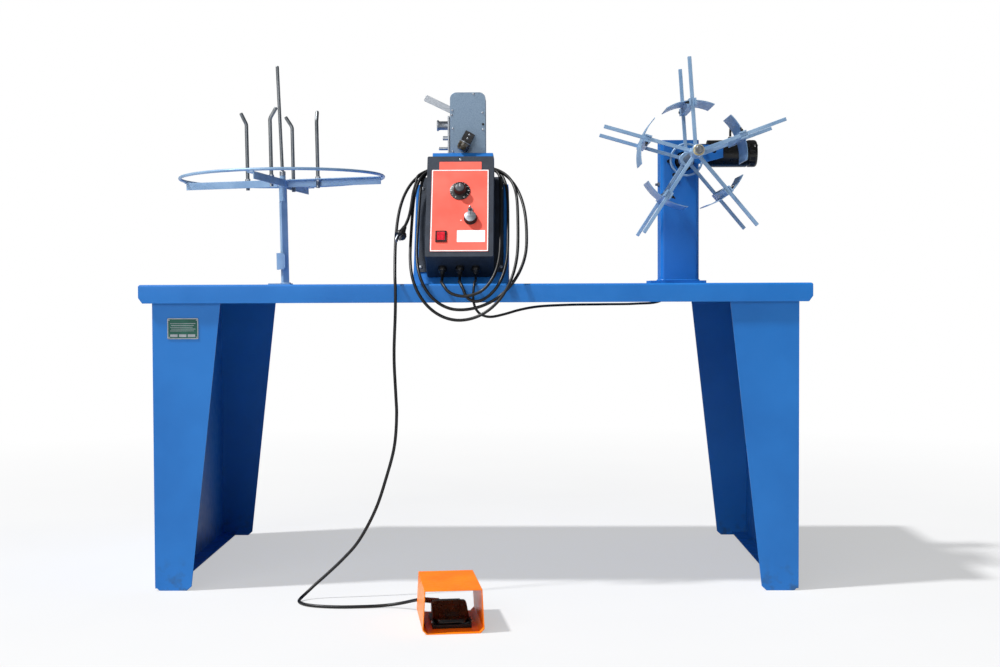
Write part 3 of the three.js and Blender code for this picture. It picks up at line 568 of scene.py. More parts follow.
CORD_R = 4.2
MOTOR_CORD_R = 3.5
COIL = {
    "x": -40, "z": 955, "half_width": 147, "above": 217, "below": 178, "grow_side": 37, "grow_top": 6}
DRAPE = {"front": -34, "bend": 850, "slope": 0.872, "round": 24}
LAYER = 5.5  # how far each cord's loops lie behind or in front of the middle of the hank

FOOT_CORD_ROUTE = [
    [-215, -2, 868], [-213.5, -16, 846], [-212, -24, 820], [-212, -26.5, 780], [-213, -26, 745],
    [-215, -25, 702], [-216.5, -24.5, 659], [-216, -26, 616], [-211.5, -31, 530], [-209.8, -34, 487],
    [-215.7, -43, 402], [-237.5, -53, 317], [-266, -63, 233], [-312.6, -73, 148], [-352, -78, 104],
    [-397, -83, 62], [-428, -88, 35], [-448, -100, 17], [-459, -118, 8], [-461, -138, 5], [-453, -161, 4.8],
    [-436, -182, 4.8], [-410, -197, 4.8], [-376, -206, 4.8], [-338, -210, 4.8], [-290, -206, 4.8],
    [-250, -200, 5], [-214, -199, 8], [-180, -211, 16], [-155, -229, 25], [-140, -249, 32]]

MOTOR_CORD_ROUTE = [
    [2, 51.2, 855.9], [2, 45.7, 850.7], [2, 38, 847], [2, 29, 845.2], [2, 18, 844.6], [1, 6.5, 843.6],
    [0, -4.5, 839.5], [-1, -12, 831.5], [-2, -16, 820], [-3, -16.5, 802], [-1, -16.5, 785],
    [4.5, -16, 769.5], [15, -14.5, 757], [30, -12, 750], [47, -7, 748.5], [80, 6, 755], [120, 26, 766],
    [165, 60, 774], [250, 150, 778], [360, 280, 778], [470, 420, 778], [550, 520, 784], [590, 556, 805],
    [600, 562, 832], [600, 560, 862], [600, 540, 900], [600, 526, 950], [600, 524, 1040], [603, 525, 1090],
    [611, 525, 1135], [630, 523, 1175], [658, 520.5, 1204], [690, 514, 1226],
    [715, 511, 1239], [741, 511, 1251.5], [766, 511.5, 1265], [777, 511.5, 1276], [781, 511, 1290],
    [779.4, 507.4, 1304.8], [775, 497.5, 1315.5], [769, 484, 1319.5], [763, 470.5, 1315.5],
    [758.6, 460.6, 1304.8], [757, 457, 1290], [757, 457, 1280]]


def drape_y(z):
    run = DRAPE["slope"] * (z - DRAPE["bend"])
    return DRAPE["front"] + (run + math.hypot(run, DRAPE["round"])) / 2


def loop_point(angle, spread, out):
    """A point of the loops: angle 0 is the right, 90 the top; spread -1 is innermost, +1 outermost."""
    c, s = math.cos(math.radians(angle)), math.sin(math.radians(angle))
    power = 2.7 * 1.72 ** (1 - spread) if s > 0 else 2

    def bulge(v):
        return math.copysign(abs(v) ** (2 / power), v)

    upper = COIL["above"] + COIL["grow_top"] * spread
    lower = COIL["below"] + COIL["grow_side"] * spread
    z = COIL["z"] + (upper if s > 0 else lower) * bulge(s)
    x = COIL["x"] + (COIL["half_width"] + COIL["grow_side"] * spread) * bulge(c)
    return x, drape_y(z) + out, z


def eased(keys, t):
    """The value at t between (t, value) keys, leaving and reaching each key smoothly."""
    for (t0, v0), (t1, v1) in zip(keys, keys[1:]):
        if t <= t1:
            u = max(0.0, (t - t0) / (t1 - t0))
            return v0 + (v1 - v0) * u * u * (3 - 2 * u)
    return keys[-1][1]


def loops(keys, out):
    start, end, step = keys[0][0], keys[-1][0], 10
    angles = [start + step * i for i in range(int((end - start) / step) + 1)]
    return [loop_point(a, eased(keys, a), out) for a in angles]


def add_cord(name, route, radius, replaces, **facts):
    data = bpy.data.curves.new(name, "CURVE")
    data.dimensions = "3D"
    data.bevel_depth = radius * MM
    data.bevel_resolution = 5
    data.use_fill_caps = True
    points = [BENCH @ Vector(p) for p in smooth_path(route, 5)]
    line = data.splines.new("POLY")
    line.points.add(len(points) - 1)
    for spot, p in zip(line.points, points):
        spot.co = (*p, 1)
    line.use_smooth = True
    obj = dress(bpy.data.objects.new(name, data), "root", "rubber", replaces=replaces)


def out_of_gland(x, last_y):
    """Out of a gland's tip, down in one bend on to the bench and forward to its edge."""
    tip_y, tip_z, heading, bend = 54.8, 862.2, math.radians(63), 34
    route = []
    for k in range(6):
        a = heading * (1 - k / 5)
        forward = bend * (math.sin(heading) - math.sin(a))
        down = bend * (math.cos(a) - math.cos(heading))
        route.append((x, tip_y - forward, tip_z - down))
    return route + [(x, last_y, 843.4)]


def add_cords(plug):
    foot_start = out_of_gland(-42, 14) + [
        (-41, 4, 842.8), (-38, -7, 839), (-34, -16, 832), (-29, -22, 822), (-24, -26, 809), (-14, -28, 797),
        (1, -28.5, 790.5), (19, -28.5, 793)]
    foot_loops = loops([
        (-58, 0.0), (0, -0.45), (90, -0.7), (180, -0.75), (270, 0.25), (360, 0.95), (450, 0.7), (542, 0.85)],
        LAYER)
    add_cord(
        "foot_switch_cord", foot_start + foot_loops + FOOT_CORD_ROUTE, CORD_R, ["foot_cord", "cord_coil"],
        length=4.0, far_end="object", stiffness="medium", lay="loose")

    mains_start = out_of_gland(-90, 12) + [
        (-89.5, 1, 843.2), (-88, -9, 841.5), (-85, -19, 837), (-80, -27, 830), (-73, -33, 821),
        (-60, -36.5, 811.5), (-43, -38, 806), (-24, -38.5, 804.5), (-4, -38.5, 808)]
    mains_loops = loops([
        (-62, -0.6), (0, -1.0), (90, -0.7), (180, -0.3), (270, 1.0), (360, 0.3), (450, 0.7), (488, 0.7)],
        -LAYER)
    to_plug = [
        (-172, 200, 1122), (-177, 172, 1096), (-179, 143, 1069), (-181, 113, 1042), (-185, 85, 1018),
        (-193, 62, 995)]
    add_cord(
        "mains_cord", mains_start + mains_loops + to_plug, CORD_R, [],
        length=2.55, far_end="plug", stiffness="medium", lay="coiled", with_pieces=plug)

    add_cord(
        "motor_lead", MOTOR_CORD_ROUTE, MOTOR_CORD_R, ["motor_cord"],
        length=1.67, far_end="object", stiffness="medium", lay="loose")


add_cords(add_plug())

# ---------- bench ----------


def add_bench():
    refined("bench_top", 0.9, 3)
    for side, node in ((-1, "left_leg"), (1, "right_leg")):
        refined(node, 0.9, 3)
        nuts = []
        for y in (90, 457, 824):
            spot = at(side * 860, y, 831.2) @ turned(180)
            nuts.append(moved(hexagon(8, 0, 6.5), spot))
            nuts.append(moved(lathe([(0, -3), (4, -3), (4, 9), (3.4, 10), (0, 10)], 20), spot))
            nuts.append(moved(disc(10, 0, 1.4, 28), spot @ at(0, 0, -0.2)))
        piece(f"{node}_nuts", "root", "bright_metal", BENCH, *nuts, bevel=0.4)
    refined("cable_grommet", 0.8, 3)
    add_data_plate()


def add_data_plate():
    refined("data_plate", 0.2)
    left, right, low, high = -838, -753, 690, 747
    front = 10.7
    rim = 2.6
    edge = rounded(left + 0.3, right - 0.3, low + 0.3, high - 0.3, 3)
    inner = rounded(left + rim, right - rim, low + rim, high - rim, 1.2)
    border = ring_frame(edge, inner, -front - 0.1, 0.3 - front)
    piece("plate_border", "root", "bright_metal", BENCH @ turned(90), border)
    rows = [(left + 8 + 3 * (i % 2), right - 8 - 4 * (i % 3), high - 15 - 5 * i) for i in range(5)]
    bars = [block(x0, x1, front - 0.2, front + 0.05, z, z + 1.1) for x0, x1, z in rows]
    boxes = [
        block(left + 8 + 24 * i, left + 28 + 24 * i, front - 0.2, front + 0.05, 696, 703) for i in range(3)]
    piece("plate_blank_lines", "root", "bright_metal", BENCH, *bars, *boxes)
    corners = [(x, front, z) for x in (left + 5, right - 5) for z in (low + 5, high - 5)]
    rivets = copies(screw(1.8, 1.2), corners, turned(90))
    piece("plate_rivets", "root", "bright_metal", BENCH, *rivets)


add_bench()

# ---------- pay-off turntable ----------


def add_payoff():
    refined("payoff_post", 0.8, 3)
    seam = smooth_path([
        (-11, -9, 5.4), (2, -14, 5.2), (14, -6, 5.2), (11, 10, 5.4), (-3, 14, 5.4), (-14, 4, 5.4)], 2)
    beads = [2.1 + 0.35 * math.sin(1.7 * i) for i in range(len(seam))]
    piece("post_weld", "root", "sky_paint", PAYOFF, tube(seam, beads, 10))
    refined("hub_sleeve", 0.5)
    piece(
        "spindle_collar", "turntable", "bright_metal", PAYOFF,
        lathe([(5.2, 330.4), (8.6, 330.4), (9, 331), (9, 343), (8.2, 344), (5.2, 344), (5.2, 330.4)], 48),
        moved(socket_screw(2.2, 1.6), at(0, -9, 337) @ turned(90)))
    tops = ((227, 172), (0, 262), (90, 352), (180, 82))
    for i, (towards, azimuth) in enumerate(tops, 1):
        refined(f"turntable_spoke_{i}", 0.6, 2)
        add_pin(i, math.radians(towards), math.radians(azimuth))
        spoke = PAYOFF @ at(0, 0, 296) @ turned(rz=azimuth)
        heads = [moved(screw(3.4, 2), at(r, -3, 22)) for r in (24, 36)]
        weld = tube(smooth_path([(14.2, 10.2, 2), (13.8, 10.6, 11), (14.2, 10.2, 20)], 1.5), 1.6, 10)
        joint = tube(smooth_path([(300.5, 9.2, 21.2), (304.5, 8.6, 21.6), (308, 8.8, 21.4)], 1.5), 1.6, 10)
        piece(f"spoke_screws_{i}", "turntable", "black_metal", spoke, *heads)
        piece(f"ring_weld_{i}", "turntable", "sky_paint", spoke, joint, weld)
    piece(
        "ring_rim", "turntable", "sky_paint", PAYOFF, tube(circle(304.5, 322.8, 128), 4.5, 16, closed=True),
        replaces=["turntable_ring"])
    top = 662 - 330.3
    lean = math.tan(math.radians(-1.4))
    bar = [(lean * h, 0, 330.3 + h) for h in (0, 1, top * 0.5, top - 2, top - 0.1)]
    piece(
        "spindle_bar", "turntable", "bare_steel", PAYOFF, tube(bar, [5, 5, 5, 5, 3.8], 32),
        replaces=["spool_spindle"])


def add_pin(i, towards, azimuth):
    circle_r, r, bend, tip, low = 110, 5.5, 490, 523, 296
    foot = PAYOFF @ at(circle_r * math.cos(azimuth), circle_r * math.sin(azimuth), 0)
    heights = [low - 6, low + 60, bend - 60, bend - 12, bend - 3, bend + 4, bend + 14, tip - 0.5]
    reach = [20 * max(0, (h - bend) / (tip - bend)) for h in heights]
    bar = smooth_path([(math.cos(towards) * d, math.sin(towards) * d, h) for d, h in zip(reach, heights)], 4)
    radii = [r] * (len(bar) - 1) + [r - 0.9]
    turns = range(40)
    thread = [r + (0.3 if k % 2 else -0.2) for k in turns]
    stub = tube([(0, 0, low - 5.9 + 0.9 * k) for k in turns], thread, 24)
    top, under = low + 22, low + 19
    nuts = [hexagon(8, top + 1.5, top + 6.5), hexagon(7, under - 5, under - 0.3)]
    washer = disc(8.6, top + 0.3, top + 1.5, 32)
    piece(
        f"pin_bar_{i}", "turntable", "bare_steel", foot, tube(bar, radii, 24), stub,
        replaces=[f"upright_pin_{i}"])
    piece(f"pin_nuts_{i}", "turntable", "bright_metal", foot, *nuts, washer, bevel=0.4)


add_payoff()

# ---------- console ----------


def add_console():
    refined("console_pedestal", 1.2, 3)
    refined("enclosure_cover", 1.2, 3)
    refined("enclosure_back", 0.7, 2)
    refined("face_panel", 0.2, 1)
    refined("drive_board", 0.3, 1)
    add_board_parts()
    spots = [(x, -3.4, z) for x in (-112, 112) for z in (52, 307)]
    piece("back_plate_screws", "root", "bright_metal", SLOPE, *copies(screw(5, 2.6), spots, turned(90)))
    piece("cover_screw", "root", "bright_metal", SLOPE @ at(0, -124.4, 328.5) @ turned(90), screw(4.4, 2.4))
    add_panel_print()
    add_dial()
    add_selector()
    add_toggle()
    add_rocker()
    for node, x in (("mains_gland", -48), ("foot_gland", 0), ("motor_gland", 44)):
        add_gland(node, x)


def add_board_parts():
    """Capacitors, terminals and heat-sink fins on the drive board, inside the box."""
    cans = [moved(lathe([(0, 0), (9, 0), (9, 28), (8, 30), (0, 30)], 28), at(x, -22, z) @ turned(90))
            for x, z in ((-40, 85), (-14, 85))]
    strip = block(12, 60, -36, -22, 66, 82)
    piece("board_capacitors", "root", "black_plastic", SLOPE, *cans, strip, bevel=0.5)
    fins = [block(-55 + 9 * i, -52.5 + 9 * i, -74, -61.5, 152, 233) for i in range(13)]
    piece("heat_sink_fins", "root", "bright_metal", SLOPE, *fins, bevel=0.4)


def add_panel_print():
    """A white border, a blank strip above it and a blank label, all plain."""
    half, low, high = 79.5, 34.5, 293.5
    outer = rounded(-half + 0.6, half - 0.6, low + 0.6, high - 0.6, 2)
    inner = rounded(-half + 3.4, half - 3.4, low + 3.4, high - 3.4, 1.5)
    border = ring_frame(outer, inner, 0.02, 0.25)
    piece("panel_border", "root", "coral_label", FACE, border, look="white_print")
    strip = prism(rounded(-59, 59, 294, 320, 1.5), -1.7, -0.9)
    piece("blank_strip", "root", "coral_label", FACE, strip, bevel=0.15)
    label = prism(rounded(-6.5, 70.5, 63, 100, 1.5), 0.02, 0.4)
    piece("blank_label", "root", "coral_label", FACE, label, bevel=0.1, look="white_print")
    dots = [moved(disc(1.6, 0.02, 0.3, 24), at(x, y, 0))
            for x, y in ((4, 131), (29, 176.5))]
    piece("position_dots", "root", "coral_label", FACE, *dots, look="white_print")


def numeral(text, size):
    """A number's flat outline given thickness, centred on the origin."""
    data = bpy.data.curves.new("numeral", "FONT")
    data.body, data.size, data.extrude = text, size, 0.12
    data.align_x, data.align_y = "CENTER", "CENTER"
    holder = bpy.data.objects.new("numeral", data)
    bpy.context.scene.collection.objects.link(holder)
    bpy.context.view_layer.update()
    mesh = bpy.data.meshes.new_from_object(holder)
    form = [tuple(v.co) for v in mesh.vertices], [list(p.vertices) for p in mesh.polygons]
    bpy.data.objects.remove(holder)
    bpy.data.meshes.remove(mesh)
    bpy.data.curves.remove(data)
    return form


def add_dial():
    where = FACE @ at(0, 224.5, 0)
    skirt = lathe([
        (0, -18), (3, -18), (3, 0.2), (28, 0.2), (28.5, 0.7), (28.4, 1.7), (18.2, 5), (0, 5.2)], 96)

    def flutes(angle, height):
        return 1 + (0.035 * math.cos(angle * 24) if 6.5 < height < 21 else 0)

    knob = lathe([
        (0, 5), (17, 5), (16.9, 6), (16.2, 7), (15.5, 20.6), (14.8, 22.2), (12.4, 22.5), (12.2, 21.9),
        (0, 21.9)], 144, flutes)
    piece("dial_knob", "dial", "black_plastic", where, skirt, knob, angle=40, replaces=["speed_dial"])
    piece(
        "dial_cap", "dial", "black_plastic", where,
        lathe([(0, 22.3), (11.6, 22.3), (12.1, 22), (12.1, 21.8), (0, 21.8)], 64), look="satin_grey")
    line = block(-0.6, 0.6, 2, 11.5, 22.25, 22.6)
    piece("dial_pointer", "dial", "black_plastic", where, line, look="white_print")
    cone = math.degrees(math.atan2(3.3, 10.2))
    marks = []
    for i in range(11):
        a = 240 - 30 * i
        spot = turned(rz=a - 90) @ at(0, 23.4, 3.4) @ turned(-cone)
        marks.append(moved(numeral(str(i), 5.6), spot))
    for i in range(21):
        spot = turned(rz=240 - 15 * i - 90) @ at(0, 27.2, 2.2) @ turned(-cone)
        marks.append(moved(block(-0.25, 0.25, -0.8, 0.8, -0.1, 0.15), spot))
    piece("dial_numbers", "dial", "black_plastic", where, *marks, look="white_print")


def add_selector():
    where = FACE @ at(30, 135.5, 0)

    def knurl(angle, height):
        return 1 + (0.03 * math.cos(angle * 30) if 3 < height < 15 else 0)

    grip = lathe([
        (0, -16), (3, -16), (3, 0.2), (17.8, 0.2), (18, 1), (18, 2.6), (16.9, 3.4), (16.5, 14.6),
        (15.8, 15.6), (0, 15.6)], 180, knurl)
    piece("selector_grip", "selector", "black_plastic", where, grip, angle=40, replaces=["selector_knob"])
    cap = lathe([(0, 17), (14, 17), (15.4, 16.3), (15.9, 15.3), (0, 15.3)], 72)
    line = block(-0.6, 0.6, 4, 14, 16.8, 17.25)
    piece("selector_cap", "selector", "bright_metal", where, cap)
    piece("selector_line", "selector", "black_plastic", where, line)


def add_toggle():
    where = FACE @ at(29, 164.5, 0)
    bat = lathe([
        (0, -8), (2.2, -8), (2.2, 4), (2.5, 9), (3.1, 15.5), (3.2, 17.5), (2.6, 19.2), (1.4, 19.8),
        (0, 20)], 40)
    piece("toggle_bat", "toggle", "bright_metal", where, bat, replaces=["toggle_lever"])
    washer = ring_frame(arc(0, 0, 7.4, 0, 360, 48)[:-1], arc(0, 0, 4.6, 0, 360, 48)[:-1], 0.02, 0.8)
    piece("toggle_nut", "root", "bright_metal", where, washer, open_nut(6.336, 4.4, 0.8, 3.2))


def add_rocker():
    refined("rocker_bezel", 0.9, 3)
    refined("rocker_key", 0.7, 3)
    where = FACE @ at(-50, 80.5, 0)
    lines = [block(-8, 8, y, y + 0.8, 0.8, 3.4) for y in (-9.5, -7.2)]
    piece("rocker_ribs", "rocker", "red_lens", where, *lines, bevel=0.2)


def add_gland(node, x):
    where = SLOPE @ at(x, -62, 19.6) @ turned(180)

    def ribs(angle, height):
        return 1 + (0.03 * math.cos(angle * 10) if 9.5 < height < 13.5 else 0)

    bore = 4.45
    shell = lathe([
        (bore, -6), (9.5, -6), (9.5, 0.4), (12, 0.4), (12, 2.4), (10.6, 2.6), (10.6, 9.3), (11.6, 9.6),
        (11, 13), (9.2, 14.2), (7.6, 16), (7.9, 16.8), (7.9, 17.6), (7.2, 18.2), (7.2, 19), (7.5, 19.8),
        (7.5, 20.6), (6.7, 21.2), (6.6, 23.4), (6, 24), (bore, 24), (bore, -6)], 80, ribs)
    piece(f"{node}_body", "root", "black_plastic", where, shell, bevel=0.2, replaces=[node])
    piece(f"{node}_nut", "root", "black_plastic", where, hexagon(12.6, 2.6, 9), bevel=0.7)


add_console()

# ---------- measuring head ----------

FRONT_FACE_Y, REAR_FACE_Y = 330, 398
HEAD_SCREWS = [(-11, 1394), (-73, 1346), (-75, 1333), (15.5, 1339), (16.5, 1290), (-72, 1293), (-72, 1226)]


def add_meter():
    refined("meter_front_plate", 0.8, 2)
    refined("meter_rear_plate", 0.8, 2)
    refined("meter_end_plate", 0.6, 2)
    refined("release_lever", 1.4, 3)
    front = [moved(screw(3.4, 1.8), at(x, FRONT_FACE_Y, z) @ turned(90)) for x, z in HEAD_SCREWS]
    back = [moved(screw(3.4, 1.8), at(x, REAR_FACE_Y, z) @ turned(-90)) for x, z in HEAD_SCREWS[1:]]
    piece("head_screws", "root", "bright_metal", BENCH, *front, *back)
    plug = lathe([(0, -1.2), (2.2, -1.2), (2.4, 0.7), (3.4, 0.7), (3.6, 0), (0, -0.1)], 28)
    where = BENCH @ at(16.7, 329.8, 1305.5) @ turned(90)
    piece("head_blank_hole", "root", "black_plastic", where, plug)
    spots = [(-11, 333.3, 1390), (15, 333.3, 1339), (16, 333.3, 1290)]
    tie_bars = copies(disc(4, 0, 61.4, 28), spots, turned(-90))
    piece("head_spacers", "root", "bright_metal", BENCH, *tie_bars)
    along_x = BENCH @ at(-120, 364, 1306) @ turned(ry=90)
    guide = lathe([
        (13, 0.6), (13.6, 0), (15.4, 0), (16, 0.7), (16, 4.4), (15, 5.4), (13.4, 6.6), (13, 7.6), (13, 32.7),
        (11, 32.7), (11, 4), (12, 1.6), (13, 0.6)], 72)
    piece("inlet_tube", "root", "bright_metal", along_x, guide, replaces=["inlet_guide"])
    add_wheels()
    add_sensor()


def add_wheels():
    spot = BENCH @ at(-28, 365, 1267) @ turned(90)

    def knurl(angle, height):
        return 1 + (0.006 * math.cos(angle * 90) if abs(height) < 11 else 0)

    rim = lathe([
        (5, -12), (12, -12), (12.5, -9), (29, -9), (30, -12), (35.4, -12), (36, -11.4), (36, 0), (36, 11.4),
        (35.4, 12), (30, 12), (29, 9), (12.5, 9), (12, 12), (5, 12), (5, -12)], 180, knurl)
    axle = lathe([(0, -29.2), (4.6, -29.2), (5, -28.8), (5, 31), (4.6, 31.3), (0, 31.3)], 36)
    piece("measuring_rim", "counting_wheel", "bright_metal", spot, rim, axle, replaces=["measuring_wheel"])
    spot = BENCH @ at(-28, 365, 1334) @ turned(90)
    tyre = lathe([
        (19, -12), (24, -12), (25, -10.8), (25, 10.8), (24, 12), (19, 12), (19, -12)], 72)
    hub = lathe([(5, -12), (19, -11.4), (19, 11.4), (5, 12), (5, -12)], 72)
    axle = lathe([(0, -29.2), (4.6, -29.2), (5, -28.8), (5, 20), (4.6, 20.4), (0, 20.4)], 36)
    piece("pressure_tyre", "nip_wheel", "black_plastic", spot, tyre, replaces=["pressure_wheel"])
    piece("pressure_hub", "nip_wheel", "bright_metal", spot, hub, axle)


def add_sensor():
    tilt = turned(ry=28)
    where = BENCH @ at(-39, 311, 1242) @ tilt
    body = lathe([
        (0, -17), (8, -16.8), (13, -15.4), (16, -11.5), (17.6, -6), (18, -1), (18, 7.4), (17.4, 8),
        (0, 8)], 64)
    collar = lathe([(0, 10), (14, 10), (14.6, 10.6), (14.6, 13), (13.6, 13.8), (0, 13.8)], 64)
    grip = block(-14.5, 14.5, -12.5, 12.5, 13, 41.5)
    ridges = [block(-14.9, 14.9, -12.9, -12.2, z, z + 2) for z in (17, 21.5, 26)]
    tail = disc(6.5, 41, 42, 32)
    seat = moved(disc(13, 0.4, 18.6, 48), tilt.inverted() @ turned(-90))
    piece(
        "sensor_body", "root", "black_plastic", where, body, seat, bevel=0.3, replaces=["wheel_sensor"],
        look="smoked_plastic")
    piece("sensor_collar", "root", "black_plastic", where, collar)
    piece("sensor_plug", "root", "black_plastic", where, grip, *ridges, tail, bevel=1.2, segments=3)
    washer = lathe([(0, 8.05), (18.7, 8.05), (19, 8.4), (19, 9.7), (18.7, 10), (0, 10)], 64)
    piece("sensor_washer", "root", "bright_metal", where, washer)
    screws = copies(screw(2.6, 1.2), ((1, -12.6, 22), (1, -12.6, 34)), turned(90))
    piece("sensor_screws", "root", "bright_metal", where, *screws)


add_meter()

# ---------- coiling head ----------

ARMS = (94, 164, 237, 310, 20)


def add_coiler():
    refined("column", 1.0, 3)
    refined("gearbox", 1.6, 3)
    add_column_details()
    add_motor()
    add_spider("rear_spider", "rotor", 350, 21, 338, 370)
    add_spider("front_spider", "front_head", 120, 17, 58, 134)
    add_shaft_and_nut()
    for i, angle in enumerate(ARMS, 1):
        refined(f"shoe_{i}", 0.6, 2)
        where = COILER @ turned(ry=-angle)
        head = moved(socket_screw(4.2, 6), at(139, 117, 10.2))
        rear = moved(socket_screw(3.4, 3), at(139, 350, 10.2))
        pin = lathe([(0, 16), (2.2, 16), (2.2, 21), (1.8, 21.6), (0, 21.6)], 24)
        pin = moved(pin, at(139, 117, 0))
        piece(f"shoe_screws_{i}", f"winding_shoe_{i}", "black_metal", where, head, rear, pin)
        seams = [tube([(147, y, z) for y in (166, 200, 235, 270, 304)], 1.5, 8) for z in (-10.2, 10.2)]
        piece(f"shoe_weld_{i}", f"winding_shoe_{i}", "sky_paint", where, *seams)


def add_column_details():
    x, y, half = 600, 457, 57.6
    loop = [(px, py, 848.2) for px, py in rounded(x - half, x + half, y - half, y + half, 12, 8)]
    radii = [2.4 + 0.4 * math.sin(2.3 * i) for i in range(len(loop))]
    piece("column_weld", "root", "blue_paint", BENCH, tube(loop, radii, 10, closed=True))
    side = BENCH @ at(542.8, 440, 1135) @ turned(ry=-90)
    end = lathe([(0, 6), (4, 6), (4, 12), (3.4, 12.8), (0, 12.8)], 24)
    piece("column_bolt", "root", "bare_steel", side, hexagon(7, 0, 6), end, bevel=0.4)
    heads = copies(socket_screw(5.4, 5), ((566, 400, 1201), (582, 400, 1241), (582, 400, 1161)), turned(90))
    piece("gearbox_screws", "root", "black_metal", BENCH, *heads)
    heads = copies(hexagon(6.5, 0, 5), [(664, 393.9, z) for z in (1238, 1206)], turned(90))
    piece("bracket_bolts", "root", "bright_metal", BENCH, *heads, bevel=0.5)


def add_motor():
    can = lathe([
        (0, 686.4), (37, 686.4), (39.6, 687), (40.5, 688), (40.5, 700), (39.8, 700.6), (39.8, 701.6),
        (40.5, 702.2), (40.5, 774), (39.8, 774.6), (39.8, 775.6), (40.5, 776.2), (40.5, 788.8),
        (0, 788.8)], 96)
    piece("motor_body", "root", "black_metal", MOTOR, can, replaces=["motor_can"])

    def slots(angle, height):
        return 1 - (0.035 if 812 < height < 826 and math.cos(angle * 12) > 0.3 else 0)

    cap = lathe([
        (0, 789.4), (40.5, 789.4), (40.5, 802.6), (38.5, 803.6), (38.5, 808), (40.5, 809), (40.5, 811),
        (40.5, 813), (40.5, 825), (40.5, 827), (40.2, 829.4), (38.5, 832.6), (36, 834.2), (22, 834.2),
        (21, 833), (0, 833)], 144, slots)
    piece("motor_cap", "root", "black_metal", MOTOR, cap, replaces=["motor_end_cap"])
    bolts = [moved(socket_screw(3, 2.6), turned(rz=a) @ at(31, 0, 834)) for a in (45, 225)]
    piece("motor_bolts", "root", "bright_metal", MOTOR, *bolts)
    refined("motor_strain_relief", 0.8, 3)
    x, top = 757, 1268
    rings = [
        tube(circle(6.9 - 0.35 * i, top + 2.4 + 2.2 * i, 40, x, 457), 0.8, 10, closed=True) for i in range(4)]
    piece("motor_relief_rings", "root", "rubber", BENCH, *rings)


def add_spider(node, body, y, hub_r, near, far):
    """Five square bars welded to a turned hub, with a stiffening hoop on the rear one."""
    bore, reach, start, half = 10.5, 265, hub_r - 3, 5
    hub = lathe([
        (bore, near), (hub_r - 1.2, near), (hub_r, near + 1.2), (hub_r, far - 1.2), (hub_r - 1.2, far),
        (bore, far), (bore, near)], 72)
    along_y = turned(-90)
    bars = [moved(block(start, reach, y - half, y + half, -half, half), turned(ry=-a)) for a in ARMS]
    piece(f"{node}_hub", body, "sky_paint", COILER, moved(hub, along_y), replaces=[node])
    for i, bar in enumerate(bars, 1):
        piece(f"{node}_arm_{i}", body, "sky_paint", COILER, bar, bevel=0.9, segments=3)
    welds = []
    for a in ARMS:
        loop = [(hub_r - 0.2, y + py, pz) for py, pz in rounded(-5.6, 5.6, -5.6, 5.6, 1.5, 4)]
        welds.append(moved(tube(loop, 1.5, 8, closed=True), turned(ry=-a)))
    if node == "rear_spider":
        hoop = [(46 * math.cos(a), y, 46 * math.sin(a)) for a in (math.pi * i / 48 for i in range(96))]
        welds.append(tube(hoop, 3.5, 16, closed=True))
    piece(f"{node}_welds", body, "sky_paint", COILER, *welds)


def add_shaft_and_nut():
    along_y = COILER @ turned(-90)
    thread = []
    for k in range(18):
        thread += [(9.2, 37.5 + 1.5 * k), (10, 38.2 + 1.5 * k)]
    bar = lathe([(0, 36), (8.2, 36), *thread, (10, 66), (10, 431.4), (9.4, 432), (0, 432)], 48)
    piece("shaft_bar", "rotor", "bare_steel", along_y, bar, angle=50, replaces=["drive_shaft"])
    washer = lathe([
        (10.6, 54.2), (15, 54.2), (15.5, 54.7), (15.5, 57.2), (15, 57.7), (10.6, 57.7), (10.6, 54.2)], 72)
    piece("nut_washer", "nut", "brass", along_y, washer, replaces=["hand_nut"])
    nut = open_nut(11.4, 10.6, 42, 54.2, corner=13.2)
    piece("nut_hexagon", "nut", "bright_metal", along_y, nut, bevel=0.3)


add_coiler()

# ---------- foot switch ----------


def treadle_form():
    """The pedal from its nose to its heel, with a rounded nose and softly rounded upper edges."""
    tops = [(-68, 17), (-67.3, 20), (-66, 23), (-63, 25.6), (-58, 28), (-52, 29.7), (-46, 31.3), (-20, 38.5),
            (10, 46.7), (20, 49.3), (28, 50), (36, 50), (40, 48), (43, 45.2), (45, 42)]
    points, faces = [], []
    for y, top in tops:
        nose, heel = max(0, -48 - y), max(0, y - 33)
        half = 44.2 - 20 + math.sqrt(400 - nose ** 2) - 12 + math.sqrt(144 - heel ** 2)
        low = 15 + max(0, y + 50) * 15 / 95
        r = min(8, 0.45 * (top - low))
        left = arc(-half + r, top - r, r, 180, 90, 6)
        section = [(-half, low), *left, *[(-x, z) for x, z in reversed(left)], (half, low)]
        points += [(x, y, z) for x, z in section]
    count = len(points) // len(tops)
    for k in range(len(tops) - 1):
        a, b = k * count, (k + 1) * count
        faces += [(a + i, a + (i + 1) % count, b + (i + 1) % count, b + i) for i in range(count)]
    last = len(points) - count
    return points, [*faces, list(range(count)), list(range(last, last + count))]


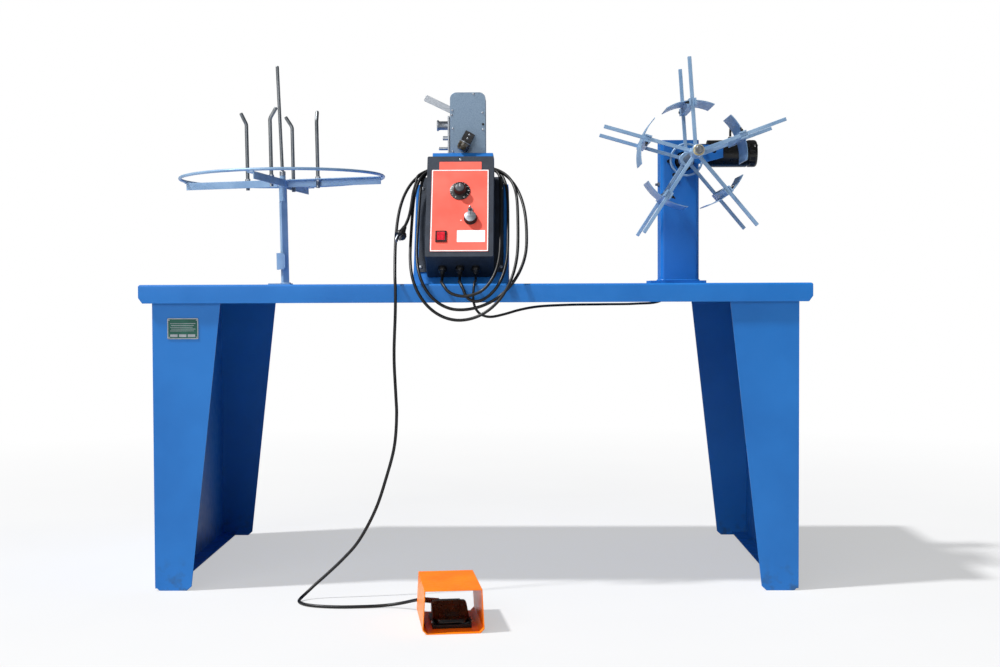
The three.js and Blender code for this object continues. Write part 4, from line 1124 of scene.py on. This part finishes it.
def add_foot_switch():
    refined("foot_guard", 0.9, 3)
    refined("foot_base", 1.0, 2)
    piece("treadle_body", "treadle", "black_metal", FOOT, treadle_form(), angle=50, replaces=["foot_treadle"])
    pad = FOOT @ at(0, -18, 38.9) @ turned(math.degrees(math.atan2(22, 80)))
    plate = prism([(-19, -22), (19, -22), (33, 38), (30, 42), (-30, 42), (-33, 38)], -0.6, 1.1)
    ribs = [block(-20, 20, y, y + 2.2, -0.8, 0.9) for y in (-27, -32, -37)]
    piece("treadle_pad", "treadle", "black_metal", pad, plate, *ribs, bevel=0.8, segments=3)
    cheeks = [moved(screw(4.6, 4), at(side * 48, -64, 18) @ turned(ry=90 * side)) for side in (-1, 1)]
    piece("treadle_screws", "root", "bright_metal", FOOT, *cheeks)
    start, end = Vector((-23, 75, 38)), Vector((-61, 107, 36))
    along = (end - start).normalized()
    side = along.cross(Vector((0, 0, 1))).normalized()
    up = side.cross(along)
    turns, steps = 9, 16
    coil = []
    for k in range(turns * steps + 1):
        t = k / (turns * steps)
        a = 2 * math.pi * k / steps
        r = 6.8 - 1.1 * t
        coil.append(start.lerp(end, t) + (side * math.cos(a) + up * math.sin(a)) * r)
    piece("relief_spring", "root", "bright_metal", FOOT, tube(coil, 1.3, 8), look="zinc_wire")
    sleeve = tube([start.lerp(end, t) for t in (0, 0.1, 0.9, 1)], [5.6, 5.4, 4.9, 4.7], 24)
    piece("relief_sleeve", "root", "rubber", FOOT, sleeve, replaces=["foot_cord_relief"])


add_foot_switch()

# ---------- studio ----------


def add_studio():
    reach = 60
    corners = [(x * reach, y * reach, 0) for x, y in ((-1, -1), (1, -1), (1, 1), (-1, 1))]
    mesh = bpy.data.meshes.new("studio_floor")
    mesh.from_pydata(corners, [], [(0, 1, 2, 3)])
    floor = bpy.data.objects.new("studio_floor", mesh)
    bpy.context.scene.collection.objects.link(floor)
    mesh.materials.append(FINISH["studio_floor"])

    world = bpy.data.worlds.new("studio")
    bpy.context.scene.world = world
    world.use_nodes = True
    nodes, links = world.node_tree.nodes, world.node_tree.links
    ambient = nodes["Background"]
    ambient.inputs["Color"].default_value = (0.9, 0.95, 1.0, 1)
    ambient.inputs["Strength"].default_value = 0.14
    backdrop = nodes.new("ShaderNodeBackground")
    backdrop.inputs["Color"].default_value = (1, 1, 1, 1)
    backdrop.inputs["Strength"].default_value = 1.0
    seen = nodes.new("ShaderNodeLightPath")
    choose = nodes.new("ShaderNodeMixShader")
    links.new(seen.outputs["Is Camera Ray"], choose.inputs[0])
    links.new(ambient.outputs[0], choose.inputs[1])
    links.new(backdrop.outputs[0], choose.inputs[2])
    links.new(choose.outputs[0], nodes["World Output"].inputs["Surface"])

    def aimed(name, data, position, target):
        lamp = bpy.data.objects.new(name, data)
        bpy.context.scene.collection.objects.link(lamp)
        lamp.location = position
        lamp.rotation_euler = (Vector(target) - Vector(position)).to_track_quat("-Z", "Y").to_euler()

    sun = bpy.data.lights.new("key", "SUN")
    sun.energy, sun.angle = 4.4, math.radians(4)
    aimed("key", sun, (-5.4, -1.6, 8.4), (0, 0, 0.0))
    front = bpy.data.lights.new("front_fill", "AREA")
    front.shape, front.size, front.size_y, front.energy = "RECTANGLE", 5, 3, 125
    aimed("front_fill", front, (-2.2, -5.2, 3.2), (0, 0, 0.7))


add_studio()

scene = bpy.context.scene
scene.view_settings.view_transform = "Standard"
